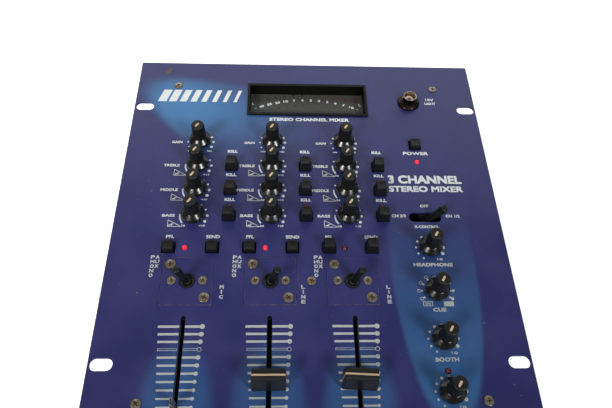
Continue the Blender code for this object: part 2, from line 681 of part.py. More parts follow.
def main():
    build = Builder()
    make_top_panel(build)
    make_chassis(build)
    make_feet(build)
    make_knobs(build)
    make_buttons(build)
    make_toggle_plates(build)
    make_toggle_levers(build)
    make_faders(build)
    make_crossfader_plate(build)
    make_meter(build)
    make_lamp_socket(build)
    make_main_board(build)
    make_transformer(build)
    make_rear_sockets(build)


main()
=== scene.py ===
"""The looks of a ten-inch, three-channel DJ mixer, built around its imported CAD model.

Shapes are drawn in millimetres and scaled when they are placed. Most are drawn in the face's own frame: its
origin is the middle of the panel's rear edge on the upper face, x runs to the user's right, y towards the
rear (so places on the panel have a negative y) and z is the height above the face.
"""

import json
import math

import bmesh
import bpy
from mathutils import Matrix, Vector


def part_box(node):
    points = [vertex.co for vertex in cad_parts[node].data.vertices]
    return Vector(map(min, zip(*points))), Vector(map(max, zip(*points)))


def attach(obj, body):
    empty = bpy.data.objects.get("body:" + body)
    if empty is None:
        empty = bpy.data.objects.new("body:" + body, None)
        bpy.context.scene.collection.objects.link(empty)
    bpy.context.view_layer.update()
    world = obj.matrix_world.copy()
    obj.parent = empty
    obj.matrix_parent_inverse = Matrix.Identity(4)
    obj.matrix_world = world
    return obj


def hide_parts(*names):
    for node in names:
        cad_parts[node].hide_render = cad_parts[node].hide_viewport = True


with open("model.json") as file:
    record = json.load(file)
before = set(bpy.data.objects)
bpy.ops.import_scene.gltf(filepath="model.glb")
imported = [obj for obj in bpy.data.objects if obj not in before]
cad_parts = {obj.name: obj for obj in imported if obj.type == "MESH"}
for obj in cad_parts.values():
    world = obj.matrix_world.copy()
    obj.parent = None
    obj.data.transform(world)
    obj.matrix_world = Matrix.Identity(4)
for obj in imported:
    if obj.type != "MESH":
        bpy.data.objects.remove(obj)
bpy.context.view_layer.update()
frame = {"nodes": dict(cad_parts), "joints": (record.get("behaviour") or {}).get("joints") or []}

MM = 0.001
TAU = 2 * math.pi
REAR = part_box("top_panel")[1].y
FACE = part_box("top_panel")[1].z
THICK = 1.6  # of the panel's sheet
JOINTS = {joint["name"]: joint for joint in frame["joints"]}


def on_face(x=0.0, y=0.0, z=0.0, turn=0.0, tilt=0.0):
    """Placement of a piece drawn in mm about a point of the face."""
    at = Matrix.Translation((x * MM, REAR + y * MM, FACE + z * MM))
    return at @ Matrix.Rotation(turn, 4, "Z") @ Matrix.Rotation(tilt, 4, "Y")


def spot(node):
    """Middle of a CAD node seen from above, in the face's frame."""
    low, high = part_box(node)
    return (low.x + high.x) / 2 / MM, ((low.y + high.y) / 2 - REAR) / MM


def joint_spot(name):
    x, y, z = JOINTS[name]["pos_m"]
    return x / MM, (y - REAR) / MM, (z - FACE) / MM


def rear_spot(node):
    """Middle of a CAD node seen from behind: x, and its height from the face."""
    low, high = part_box(node)
    return (low.x + high.x) / 2 / MM, ((low.z + high.z) / 2 - FACE) / MM


CHANNELS = (1, 2, 3)
CHANNEL_X = {number: spot(f"toggle_plate_{number}")[0] for number in CHANNELS}
PLATE_Y = spot("toggle_plate_1")[1]
MASTER_X = spot("cue_knob")[0]
KNOBS = [node for node in frame["nodes"] if "_knob" in node]
BUTTONS = [node for node in frame["nodes"] if "_button" in node]
LATCHED = {"pfl_button_1", "pfl_button_2", "send_button_1", "send_button_2", "power_button"}
LATCH_DEPTH = 4.0  # of a latched button below a released one


# ---- rings of points ----
def circle(radius, steps=32, height=0.0, centre=(0.0, 0.0)):
    turns = [TAU * step / steps for step in range(steps)]
    return [(centre[0] + radius * math.cos(a), centre[1] + radius * math.sin(a), height) for a in turns]


def rounded(width, depth, radius, height=0.0, centre=(0.0, 0.0), steps=4):
    """A rectangle with round corners, counter-clockwise."""
    points = []
    for corner, (side, end) in enumerate(((1, 1), (-1, 1), (-1, -1), (1, -1))):
        for step in range(steps + 1):
            angle = (corner + step / steps) * TAU / 4
            points.append((centre[0] + side * (width / 2 - radius) + radius * math.cos(angle),
                           centre[1] + end * (depth / 2 - radius) + radius * math.sin(angle), height))
    return points


def eased(points, reach, steps=3, closed=False):
    """Round the corners of a run of points with curves that start `reach` before each corner."""
    points = [Vector(point) for point in points]
    out = []
    for index, corner in enumerate(points):
        if not closed and index in (0, len(points) - 1):
            out.append(corner)
            continue
        before = points[index - 1]
        after = points[(index + 1) % len(points)]
        start = corner.lerp(before, min(0.45, reach / (before - corner).length))
        end = corner.lerp(after, min(0.45, reach / (after - corner).length))
        for step in range(steps + 1):
            t = step / steps
            out.append(start * (1 - t) ** 2 + corner * (2 * t * (1 - t)) + end * t * t)
    return [tuple(point) for point in out]


def arc(radius, first, last, steps, centre=(0.0, 0.0)):
    """Points on an arc between two compass angles in degrees, clockwise from +y."""
    angles = [math.radians(first + (last - first) * step / steps) for step in range(steps + 1)]
    return [(centre[0] + radius * math.sin(a), centre[1] + radius * math.cos(a)) for a in angles]


def around(x, y, radius, degrees):
    """A place on the circle round x, y, at a compass angle clockwise from +y."""
    angle = math.radians(degrees)
    return x + radius * math.sin(angle), y + radius * math.cos(angle)


def cross(arm, half_width):
    """Outline of the recess for a cross-head screwdriver."""
    quarter = [(arm, -half_width), (arm, half_width), (half_width, half_width)]
    points = []
    for turn in range(4):
        c, s = ((1, 0), (0, 1), (-1, 0), (0, -1))[turn]
        points += [(x * c - y * s, x * s + y * c) for x, y in quarter]
    return points


# ---- shapes ----
FILM = (-0.02, 0.04)  # print is sunk a little into the face, so that no gap shows
COPY_LIFT = 0.004  # keeps overlapping copies of a letter apart
DOT_LIFT = 0.012  # and dots apart from the bars that they end
SCREW_HEIGHT = 1.1
LARGE_PRINT = 3.5  # letters from this height on have smoother curves


class Shape:
    """A mesh in millimetres. Faces take the material, and points the placement, that is current."""

    def __init__(self, material):
        self.mesh = bmesh.new()
        self.materials = []
        self.here = Matrix.Identity(4)
        self.use(material)

    def use(self, material):
        if material not in self.materials:
            self.materials.append(material)
        self.index = self.materials.index(material)
        return self

    def at(self, x=0.0, y=0.0, z=0.0, turn=0.0):
        """Set where the next bodies are drawn."""
        self.here = Matrix.Translation((x, y, z)) @ Matrix.Rotation(turn, 4, "Z")
        return self

    def face(self, verts):
        self.mesh.faces.new(verts).material_index = self.index

    def loft(self, rings, closed=False):
        """Join rings of equally many points; the end rings are filled unless the loft closes on itself."""
        loops = [[self.mesh.verts.new(self.here @ Vector(point)) for point in ring] for ring in rings]
        pairs = list(zip(loops, loops[1:]))
        if closed:
            pairs.append((loops[-1], loops[0]))
        for lower, upper in pairs:
            for i, corner in enumerate(lower):
                self.face((lower[i - 1], corner, upper[i], upper[i - 1]))
        if not closed:
            self.face(loops[0][::-1])
            self.face(loops[-1])
        return self

    def turned(self, profile, steps=32, closed=False, ripple=None):
        """Turn a profile of (radius, height) points; ripple(angle, height) scales the radius."""
        rings = []
        for radius, height in profile:
            ring = []
            for step in range(steps):
                angle = TAU * step / steps
                reach = radius * (ripple(angle, height) if ripple else 1.0)
                ring.append((reach * math.cos(angle), reach * math.sin(angle), height))
            rings.append(ring)
        return self.loft(rings, closed)

    def prism(self, outline, low, high):
        return self.loft([[(p[0], p[1], low) for p in outline], [(p[0], p[1], high) for p in outline]])

    def box(self, width, depth, low, high, radius=0.3, ease=0.0):
        """An upright block with round corners and, with ease, a rounded upper edge."""
        rings = [rounded(width, depth, radius, low)]
        for step in range(4 if ease else 0):
            angle = step / 4 * TAU / 4
            inset = 2 * ease * (1 - math.cos(angle))
            rings.append(rounded(width - inset, depth - inset, radius, high - ease * (1 - math.sin(angle))))
        inset = 2 * ease
        rings.append(rounded(width - inset, depth - inset, max(radius - ease / 2, 0.05), high))
        return self.loft(rings)

    def plate(self, outline, holes=(), low=0.0, high=1.0, edge=0.12, dome=None):
        """A flat sheet with holes whose edges are eased. dome=(radius, fall) lets it drop towards the rim."""
        data = bpy.data.curves.new("outline", "CURVE")
        data.dimensions = "2D"
        data.fill_mode = "BOTH"
        data.extrude = (high - low) / 2 - edge
        data.bevel_depth = edge
        data.bevel_resolution = 1
        data.offset = -edge
        for loop in (outline, *holes):
            spline = data.splines.new("POLY")
            spline.points.add(len(loop) - 1)
            for point, place in zip(spline.points, loop):
                point.co = (place[0], place[1], 0, 1)
            spline.use_cyclic_u = True

        def settle(point):
            fall = dome[1] * (point.xy.length / dome[0]) ** 2 if dome else 0.0
            return Vector((point.x, point.y, point.z + (low + high) / 2 - fall))

        return self.take(data, lambda points: settle)

    def words(self, text, x, y, width, height):
        """Lettering scaled to a box whose middle is at x, y. Four copies, a little apart, make it bold."""
        apart = 0.055 * height
        bottom, top = FILM
        size = (width - 2 * apart, height - 2 * apart, top - bottom)
        for copy, (right, up) in enumerate(((-1, -1), (1, -1), (-1, 1), (1, 1))):
            data = bpy.data.curves.new("words", "FONT")
            data.body = text
            data.extrude = 1
            data.resolution_u = 2 if height < LARGE_PRINT else 5
            middle = (x + right * apart, y + up * apart, (bottom + top) / 2 + COPY_LIFT * copy)

            def fit(points, middle=middle):
                low = [min(point[axis] for point in points) for axis in range(3)]
                high = [max(point[axis] for point in points) for axis in range(3)]
                return lambda point: Vector([
                    middle[axis] + size[axis] * ((point[axis] - low[axis]) / (high[axis] - low[axis]) - 0.5)
                    for axis in range(3)])

            self.take(data, fit)
        return self

    def take(self, data, reshape):
        """Add a curve's surface to this shape. reshape is given its points and returns how to move each."""
        holder = bpy.data.objects.new("holder", data)
        flat = bpy.data.meshes.new_from_object(holder)
        bpy.data.objects.remove(holder)
        bpy.data.curves.remove(data)
        loose = bmesh.new()
        loose.from_mesh(flat)
        bmesh.ops.remove_doubles(loose, verts=loose.verts, dist=1e-4)
        move = reshape([vert.co.copy() for vert in loose.verts])
        for vert in loose.verts:
            vert.co = self.here @ move(vert.co)
        for made in loose.faces:
            made.material_index = self.index
        loose.to_mesh(flat)
        loose.free()
        self.mesh.from_mesh(flat)
        bpy.data.meshes.remove(flat)
        return self

    def screw(self, x, y, radius, turn):
        """An old domed cross-head screw."""
        arm = radius * 0.5
        rim = circle(radius * 0.97, 24)
        tall = SCREW_HEIGHT
        self.at(x, y, turn=turn)
        self.use(OLD_SCREW).turned([(radius * 0.97, 0), (radius, tall * 0.35)], 24)
        self.plate(rim, [cross(arm, radius * 0.11)], tall * 0.3, tall, 0.12, (radius, tall * 0.38))
        # the recess floor is darker than the head: painted shade
        self.use(RECESS_SHADE).turned([(arm * 1.05, tall * 0.36), (arm * 0.9, tall * 0.42)], 12)
        return self.at()

    def data(self, name, sharp=35):
        """Finish the mesh in metres, with the edges sharper than an angle in degrees left hard."""
        bmesh.ops.recalc_face_normals(self.mesh, faces=self.mesh.faces)
        bmesh.ops.scale(self.mesh, vec=(MM, MM, MM), verts=self.mesh.verts)
        data = bpy.data.meshes.new(name)
        self.mesh.to_mesh(data)
        self.mesh.free()
        for material in self.materials:
            data.materials.append(material)
        data.shade_smooth()
        data.set_sharp_from_angle(angle=math.radians(sharp))
        return data

    def piece(self, name, body, place=None, stands_for=(), slot=None, sharp=35):
        """Finish the mesh as an object that rides on a CAD body."""
        return add_piece(name, self.data(name, sharp), body, place, stands_for)


def add_object(name, data):
    made = bpy.data.objects.new(name, data)
    bpy.context.scene.collection.objects.link(made)
    return made


def add_piece(name, data, body, place=None, stands_for=()):
    made = add_object(name, data)
    made.matrix_world = place or on_face()
    even = made.modifiers.new("even shading", "WEIGHTED_NORMAL")
    even.keep_sharp = True
    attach(made, body)
    if stands_for:
        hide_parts(*stands_for)
    return made


# ---- materials ----
class Finish:
    """A Principled material built node by node. Patterns are read in object space, in millimetres."""

    def __init__(self, name, colour, roughness, metallic=0.0, **sockets):
        self.made = bpy.data.materials.new(name)
        self.made.use_nodes = True
        self.tree = self.made.node_tree
        self.shader = self.tree.nodes["Principled BSDF"]
        self.plug(self.shader.inputs["Base Color"], colour)
        self.plug(self.shader.inputs["Roughness"], roughness)
        self.plug(self.shader.inputs["Metallic"], metallic)
        for socket, value in sockets.items():
            self.plug(self.shader.inputs[socket.replace("_", " ")], value)
        place = self.node("TexCoord").outputs["Object"]
        self.mm = self.node("Vector Math", place, operation="SCALE", Scale=1 / MM).outputs[0]
        self.x, self.y, self.z = self.node("Separate XYZ", self.mm).outputs

    def plug(self, socket, value):
        if isinstance(value, bpy.types.NodeSocket):
            self.tree.links.new(value, socket)
        elif value is not None:
            socket.default_value = (*value, 1.0) if socket.type == "RGBA" else value

    def node(self, kind, *inputs, **settings):
        """Add a node. Settings that start with a capital are inputs by name."""
        made = self.tree.nodes.new("ShaderNode" + kind.replace(" ", ""))
        for key, value in settings.items():
            if not key[0].isupper():
                setattr(made, key, value)
        for socket, value in zip(made.inputs, inputs):
            self.plug(socket, value)
        for key, value in settings.items():
            if key[0].isupper():
                self.plug(made.inputs[key], value)
        return made

    def math(self, operation, first, second=None, third=None):
        return self.node("Math", first, second, third, operation=operation).outputs[0]

    def times(self, first, second):
        return self.math("MULTIPLY", first, second)

    def scaled(self, value, factor, more):
        return self.math("MULTIPLY_ADD", value, factor, more)

    def noise(self, size, detail=2.0, stretch=None):
        """Noise whose lumps are about `size` mm across."""
        place = self.mm
        if stretch:
            place = self.node("Vector Math", place, stretch, operation="MULTIPLY").outputs[0]
        return self.node("Tex Noise", place, Scale=1 / size, Detail=detail).outputs[0]

    def step(self, value, low, high, bottom=0.0, top=1.0):
        """A smooth climb from `bottom` at `low` to `top` at `high`."""
        limits = (value, low, high, bottom, top)
        return self.node("Map Range", *limits, interpolation_type="SMOOTHSTEP").outputs[0]

    def mix(self, share, first, second):
        made = self.node("Mix", share, data_type="RGBA")
        self.plug(made.inputs[6], first)
        self.plug(made.inputs[7], second)
        return made.outputs[2]

    def upward(self):
        """1 where the surface faces up, 0 where it is upright."""
        normal = self.node("New Geometry").outputs["Normal"]
        return self.step(self.node("Separate XYZ", normal).outputs[2], 0.35, 0.95)

    def colour(self, value):
        self.plug(self.shader.inputs["Base Color"], value)
        return self

    def rough(self, value):
        self.plug(self.shader.inputs["Roughness"], value)
        return self

    def bump(self, height, depth):
        """Bump the surface by a height pattern that spans `depth` mm."""
        made = self.node("Bump", Distance=depth * MM, Height=height)
        self.plug(self.shader.inputs["Normal"], made.outputs[0])
        return self


DUST = (0.17, 0.16, 0.135)


def plastic(name, colour, roughness, dust=0.1, grain=0.3, relief=0.012, **sockets):
    """Moulded plastic with a fine grain, smears in its gloss and dust on what faces up."""
    made = Finish(name, colour, roughness, **sockets)
    smears = made.noise(5, 4)
    specks = made.step(made.noise(0.45, 3), 0.56, 0.74)
    lying = made.times(made.upward(), made.scaled(specks, 0.7, smears))
    made.colour(made.mix(made.times(lying, dust), colour, DUST))
    made.rough(made.scaled(smears, 0.3, roughness - 0.15))
    made.bump(made.noise(grain, 2), relief)
    return made.made


def metal(name, colour, roughness, tarnish, share=0.5, grain=(1, 1, 1), metallic=1.0):
    """Plated metal whose tarnish gathers in patches, with fine scratches along its grain."""
    made = Finish(name, colour, roughness, metallic)
    patches = made.step(made.noise(1.6, 4), 0.4, 0.62)
    scratches = made.noise(0.25, 3, grain)
    made.colour(made.mix(made.times(patches, share), colour, tarnish))
    made.rough(made.scaled(made.math("ADD", patches, scratches), 0.14, roughness - 0.1))
    made.bump(scratches, 0.01)
    return made.made


def print_ink(name, colour):
    """Screen-printed ink, uneven where it was rubbed, and darker towards the front, where shade is painted
    into it.
    """
    made = Finish(name, colour, 0.5)
    worn = made.times(made.step(made.noise(3.5, 5), 0.42, 0.72), 0.5)
    rubbed = made.mix(worn, colour, tuple(part * 0.84 for part in colour))
    # painted shade: the ink's colour falls to 0.56 of itself towards the front of the face
    made.colour(made.mix(made.step(made.y, -60, -205), rubbed, tuple(part * 0.56 for part in colour)))
    made.bump(made.noise(0.4, 2), 0.006)
    return made.made


VIOLET = (0.0145, 0.0170, 0.097)
VIOLET_FADED = (0.0200, 0.0220, 0.113)
GLOW = (0.034, 0.170, 0.370)
CHIP_BROWN = (0.075, 0.036, 0.030)
BARE_STEEL = (0.16, 0.12, 0.085)


def ellipse(made, centre, reach, tilt=0.0):
    """Squared distance from an ellipse's middle, 1 on its edge."""
    dx = made.math("SUBTRACT", made.x, centre[0])
    dy = made.math("SUBTRACT", made.y, centre[1])
    c, s = math.cos(tilt), math.sin(tilt)
    along = made.scaled(dx, c / reach[0], made.times(dy, s / reach[0]))
    across = made.scaled(dx, -s / reach[1], made.times(dy, c / reach[1]))
    return made.scaled(along, along, made.times(across, across))


COMET = ((221, -192), (381, 62), math.radians(-26.15))  # an ellipse's middle, half-axes and tilt
CRESCENT = ((77, -165), (27.5, 108))
OVAL_Y, OVAL_REACH = -265, (23.5, 47)
LINE_PITCH = 1.05  # of the slanting lines that the glow is printed in
PANEL_CHIP = ((-105.75, -8.75), (1.7, 3.5), math.radians(-32))


def printed_glow(made):
    """How much of the light blue print covers each spot: a comet at the rear left, ovals round the faders
    and a crescent behind the master knobs, all laid down as fine slanting lines."""
    edge = made.step(ellipse(made, *COMET), 1.04, 0.9)
    fade = made.step(made.x, 15, -95)
    ridge = made.scaled(made.x, 0.2, made.math("ADD", made.y, 61))
    spread = made.math("EXPONENT", made.times(made.times(ridge, ridge), -0.00139))
    waning = made.times(made.step(made.x, -115, -60), made.math("SUBTRACT", 1.0, spread))
    comet = made.times(made.times(edge, fade), made.math("SUBTRACT", 1.0, waning))
    crescent = made.math("MULTIPLY",
                         made.step(ellipse(made, *CRESCENT), 1.08, 0.86),
                         made.step(made.y, -118, -268, 0.0, 0.58))
    cover = made.math("MAXIMUM", comet, crescent)
    for x in CHANNEL_X.values():
        oval = made.step(ellipse(made, (x, OVAL_Y), OVAL_REACH), 1.08, 0.3, 0.0, 0.36)
        cover = made.math("MAXIMUM", cover, oval)
    slant = made.scaled(made.x, 0.92, made.times(made.y, 0.38))
    lines = made.math("SINE", made.times(slant, TAU / LINE_PITCH))
    return made.times(cover, made.scaled(lines, 0.16, 0.88))


def violet_paint(name, glowing, rim=None):
    """Satin enamel on steel: orange peel, a dusty film, fine scratches and a few chips down to the steel."""
    made = Finish(name, VIOLET, 0.4)
    cloud = made.noise(34, 4)
    base = made.mix(made.step(cloud, 0.35, 0.68), VIOLET, VIOLET_FADED)
    if glowing:
        base = made.mix(printed_glow(made), base, GLOW)
    film = made.times(made.step(made.noise(14, 5), 0.42, 0.75), 0.02)
    specks = made.times(made.step(made.noise(0.7, 3), 0.68, 0.76), 0.14)
    base = made.mix(made.math("ADD", film, specks), base, DUST)
    chips = made.step(made.noise(2.6, 6), 0.715, 0.735)
    if glowing:
        worn_through = made.step(ellipse(made, *PANEL_CHIP), 1.25, 0.8)
        ragged = made.step(made.noise(1.0, 5, (1.0, 0.4, 1.0)), 0.38, 0.46)
        base = made.mix(made.times(worn_through, ragged), base, CHIP_BROWN)
        outer = made.math("MAXIMUM", made.step(made.math("ABSOLUTE", made.x), 125.9, 126.8),
                          made.step(made.y, -1.1, -0.2))
        nicked = made.step(made.noise(1.8, 5), 0.53, 0.57)
        base = made.mix(made.times(outer, nicked), base, CHIP_BROWN)
    if rim:
        outer = made.math("MAXIMUM", made.step(made.math("ABSOLUTE", made.x), rim[0] - 0.35, rim[0]),
                          made.step(made.math("ABSOLUTE", made.y), rim[1] - 0.35, rim[1]))
        rubbed = made.step(made.noise(4, 4), 0.42, 0.62, 0.1, 0.8)
        base = made.mix(made.times(outer, rubbed), base, BARE_STEEL)
    base = made.mix(chips, base, BARE_STEEL)
    scratches = made.step(made.noise(0.5, 4, (1.0, 0.06, 1.0)), 0.66, 0.7)
    base = made.mix(made.times(scratches, 0.05), base, DUST)
    made.colour(base)
    made.rough(made.scaled(cloud, 0.22, 0.3))
    peel = made.scaled(chips, -1.6, made.noise(1.1, 2))
    made.bump(peel, 0.018)
    return made.made


def lamp_glass(name, colour, lit):
    """A tinted plastic lens; a lit one glows, more so in the middle."""
    made = Finish(name, colour, 0.18, Coat_Weight=0.6 if lit else 0.0)
    made.bump(made.noise(0.4, 2), 0.01)
    if lit:
        made.plug(made.shader.inputs["Emission Color"], (1.0, 0.008, 0.025))
        centre = made.node("Vector Math", made.mm, operation="LENGTH").outputs["Value"]
        made.plug(made.shader.inputs["Emission Strength"], made.step(centre, 2.0, 0.2, 0.7, 2.6))
    else:
        made.colour(made.mix(made.noise(1.0, 3), colour, tuple(part * 0.5 for part in colour)))
    return made.made


def powder_coat(name):
    """Fine-textured black powder coat, rubbed grey in places."""
    made = Finish(name, (0.012, 0.012, 0.013), 0.5)
    rubbed = made.step(made.noise(9, 5), 0.52, 0.8)
    made.colour(made.mix(made.times(rubbed, 0.15), (0.012, 0.012, 0.013), (0.05, 0.05, 0.052)))
    made.rough(made.scaled(rubbed, -0.12, 0.55))
    made.bump(made.noise(0.55, 3), 0.06)
    return made.made


def board_finish(name, face, parts):
    """Solder mask up to the height `face`, and moulded black parts with grey metal lids above it."""
    made = Finish(name, (0.02, 0.1, 0.04), 0.4)
    tracks = made.step(made.noise(2.2, 1, (1.0, 0.25, 1.0)), 0.5, 0.52)
    mask = made.mix(tracks, (0.012, 0.075, 0.03), (0.03, 0.15, 0.06))
    above = made.step(made.z, face, face + 0.1)
    lid = made.times(made.step(made.z, parts - 0.4, parts), made.upward())
    body = made.mix(lid, (0.012, 0.012, 0.013), (0.3, 0.3, 0.29))
    made.colour(made.mix(above, mask, body))
    made.bump(made.noise(0.7, 2), 0.03)
    return made.made


PAINT = violet_paint("violet_paint_printed", True)
PLATE_PAINT = violet_paint("violet_paint_plate", False, (15.8, 15.8))
CROSS_PAINT = violet_paint("violet_paint_cross_plate", False, (45.7, 16.7))
WHITE_INK = print_ink("white_ink", (0.64, 0.68, 0.67))
CAP_BLACK = plastic("knob_cap_black", (0.0050, 0.0050, 0.0048), 0.5, 0.03, Specular_IOR_Level=0.3)
SKIRT_BLACK = plastic("knob_skirt_black", (0.004, 0.004, 0.004), 0.24, 0.02, relief=0.004)
CREAM = plastic("pointer_cream", (0.52, 0.39, 0.24), 0.5, 0.1)
BUTTON_BLACK = plastic("button_black", (0.0040, 0.0040, 0.0040), 0.44, 0.03, Specular_IOR_Level=0.3)
LEVER_BLACK = plastic("lever_black", (0.0040, 0.0058, 0.0058), 0.42, 0.03, Specular_IOR_Level=0.3)
NUT_BLACK = plastic("nut_black", (0.006, 0.006, 0.0055), 0.7, 0.05, Specular_IOR_Level=0.2)
FADER_BLACK = plastic("fader_cap_black", (0.0070, 0.0070, 0.0068), 0.36, 0.04, Specular_IOR_Level=0.4)
METER_BLACK = plastic("meter_black", (0.0030, 0.0030, 0.0028), 0.4, 0.01, relief=0.006,
                      Specular_IOR_Level=0.15)
SOCKET_BLACK = plastic("socket_black", (0.012, 0.012, 0.012), 0.45, 0.05)
SCALE_GREY = plastic("scale_grey", (0.044, 0.044, 0.043), 0.6, 0.05)
RUBBER = plastic("foot_rubber", (0.014, 0.014, 0.014), 0.85, 0.1, grain=0.6, relief=0.03)
TAN = plastic("index_tan", (0.44, 0.31, 0.20), 0.5, 0.1)
IVORY = plastic("insulator_ivory", (0.62, 0.50, 0.36), 0.45, 0.1)
AMBER = plastic("contact_amber", (0.14, 0.035, 0.015), 0.4, 0.1)
STEEL = metal("zinc_steel", (0.42, 0.42, 0.41), 0.36, (0.2, 0.19, 0.17))
OLD_SCREW = metal("tarnished_screw", (0.37, 0.315, 0.235), 0.44, (0.16, 0.115, 0.07), 0.75)
NICKEL = metal("nickel", (0.62, 0.59, 0.53), 0.22, (0.35, 0.32, 0.27))
BRONZE = metal("dark_bronze", (0.034, 0.026, 0.021), 0.36, (0.010, 0.007, 0.005), 0.7)
BRASS_RIM = metal("worn_rim", (0.40, 0.37, 0.37), 0.32, (0.16, 0.12, 0.10), 0.6)
BARREL_INSIDE = metal("barrel_inside", (0.46, 0.36, 0.24), 0.42, (0.20, 0.13, 0.08), 0.6)
# SHADE is near-black, put into holes, wells and recesses as painted shade
SHADE = plastic("painted_recess_shade", (0.002, 0.002, 0.002), 0.8, 0.0)
# a darker metal for the floor of a screw's cross: painted shade in the recess
RECESS_SHADE = metal("painted_shade_screw_recess", (0.10, 0.078, 0.055), 0.5, (0.04, 0.028, 0.018))
POWDER = powder_coat("black_powder_coat")
RED_LIT = lamp_glass("lamp_red_lit", (0.5, 0.01, 0.03), True)
RED_DARK = lamp_glass("lamp_red_dark", (0.13, 0.010, 0.016), False)
METER_LAMPS = {"green": lamp_glass("lamp_green_dark", (0.030, 0.060, 0.040), False),
               "yellow": lamp_glass("lamp_yellow_dark", (0.085, 0.078, 0.034), False),
               "red": lamp_glass("lamp_red_meter", (0.105, 0.036, 0.032), False)}
RED_PLASTIC = plastic("insert_red", (0.35, 0.015, 0.015), 0.4, 0.05)
WHITE_PLASTIC = plastic("insert_white", (0.6, 0.6, 0.57), 0.4, 0.05)


# ---- layout that the CAD keeps in its holes ----
SCREW_PLACES = [(side * 97.0, -row) for row in (24.0, 256.6, 342.0) for side in (-1, 1)] + [(0.0, -184.1)]
RACK_SLOT_ROWS = (44.45, 234.95, 311.15)
RACK_SLOT_X = 119.4
RACK_SLOT = (12.9, 7.1, 3.5)  # width, depth and corner radius
ASSIGN_SLOT = (21.9, 7.1, 3.5)
BUTTON_HOLE = (8.8, 8.2, 0.4)
PLATE_HOLE = (32, 32, 0.5)
CROSS_HOLE = (92, 34, 0.5)
METER_HOLE = (88.4, 28.8, 0.4)
KNOB_HOLE, LED_HOLE, SCREW_HOLE, LAMP_HOLE, PHONES_HOLE = 3.8, 1.85, 1.7, 6.1, 4.8
PANEL = (254, 355.6, 1.0)
LAMP_SPOT = spot("lamp_socket")
METER_SPOT = spot("meter_bezel")
PHONES_SPOT = (MASTER_X, -318.0)
CROSS_SPOT = spot("crossfader_plate")
ASSIGN_SPOT = joint_spot("assign_toggle_throw")[:2]
FADER_TOP_ROW = 213.1
FADER_TRAVEL = 60.0
CROSS_TRAVEL = 45.0
SLOT_SPARE = 6.7  # a slot runs this far past each end of the travel
SLOT_WIDTH = 2.75
KILL_LED_LEAD = 7.9  # of a kill lamp behind its button's middle


def led_places():
    """Name, x, y and state of every indicator lamp on the panel."""
    for number in CHANNELS:
        for band in ("treble", "middle", "bass"):
            x, y = spot(f"{band}_kill_button_{number}")
            yield f"{band}_kill_lamp_{number}", x, y + KILL_LED_LEAD, False
        yield f"pfl_lamp_{number}", CHANNEL_X[number] - 3.6, spot(f"pfl_button_{number}")[1], number < 3
    yield "power_lamp", MASTER_X, -92.8, True
    yield "clip_lamp", MASTER_X, -239.7, False


# ---- the panel ----
def panel_holes():
    for side in (-1, 1):
        for row in RACK_SLOT_ROWS:
            yield rounded(*RACK_SLOT, centre=(side * RACK_SLOT_X, -row), steps=8)
    for knob in KNOBS:
        yield circle(KNOB_HOLE, 24, centre=spot(knob))
    for button in BUTTONS:
        yield rounded(*BUTTON_HOLE, centre=spot(button), steps=2)
    for _, x, y, _ in led_places():
        yield circle(LED_HOLE, 16, centre=(x, y))
    for place in SCREW_PLACES:
        yield circle(SCREW_HOLE, 12, centre=place)
    middle = FADER_TOP_ROW + FADER_TRAVEL / 2
    length = FADER_TRAVEL + 2 * SLOT_SPARE
    for x in CHANNEL_X.values():
        yield rounded(*PLATE_HOLE, centre=(x, PLATE_Y), steps=2)
        yield rounded(SLOT_WIDTH, length, SLOT_WIDTH / 2.01, centre=(x, -middle), steps=6)
    yield rounded(*CROSS_HOLE, centre=CROSS_SPOT, steps=2)
    yield rounded(*ASSIGN_SLOT, centre=ASSIGN_SPOT, steps=8)
    yield circle(LAMP_HOLE, 32, centre=LAMP_SPOT)
    yield circle(PHONES_HOLE, 32, centre=PHONES_SPOT)
    yield rounded(*METER_HOLE, centre=METER_SPOT, steps=2)


def make_panel():
    panel = Shape(PAINT)
    outline = rounded(*PANEL, centre=(0, -PANEL[1] / 2), steps=6)
    panel.plate(outline, list(panel_holes()), -THICK, 0, 0.18)
    panel.piece("top_panel_sheet", "case", stands_for=["top_panel"], slot="violet_paint")
    screws = Shape(OLD_SCREW)
    for number, (x, y) in enumerate(SCREW_PLACES):
        screws.screw(x, y, 2.9, 0.5 + 0.9 * number)
        screws.at(x, y, -5).use(STEEL).turned([(1.4, 0), (1.4, 5.2)], 12).at()
    screws.piece("panel_screws", "case", slot="zinc_steel")


# ---- print ----
class Print(Shape):
    """Flat print: thin films of ink on the face."""

    def area(self, outline):
        return self.prism(outline, *FILM)

    def bar(self, x, y, width, height, radius=0.05):
        radius = min(radius, height / 2.02, width / 2.02)
        return self.area(rounded(width, height, radius, centre=(x, y), steps=3))

    def dot(self, x, y, radius):
        low, high = FILM
        return self.prism(circle(radius, 16, centre=(x, y)), low, high + DOT_LIFT)

    def band(self, x, y, radius, first, last, thick):
        """An arc of ink between two compass angles."""
        outer, inner = (arc(radius + side * thick / 2, first, last, 6, (x, y)) for side in (1, -1))
        return self.area(outer + inner[::-1])

    def ring(self, x, y, radius, thick):
        low, high = FILM
        loops = [circle(radius + side * thick / 2, 20, level, (x, y))
                 for side, level in ((-1, low), (1, low), (1, high), (-1, high))]
        return self.loft(loops, closed=True)

    def frame(self, x, y, width, height, thick):
        low, high = FILM
        loops = [rounded(width - 2 * inset, height - 2 * inset, 0.1, level, (x, y), 1)
                 for inset, level in ((thick, low), (0, low), (0, high), (thick, high))]
        return self.loft(loops, closed=True)

    def column(self, text, x, first_row, pitch, height, width=2.5):
        """A word set one letter below the other."""
        for index, letter in enumerate(text):
            slim = 0.3 if letter == "I" else 1.0
            self.words(letter, x, -(first_row + pitch * index), width * slim, height)
        return self


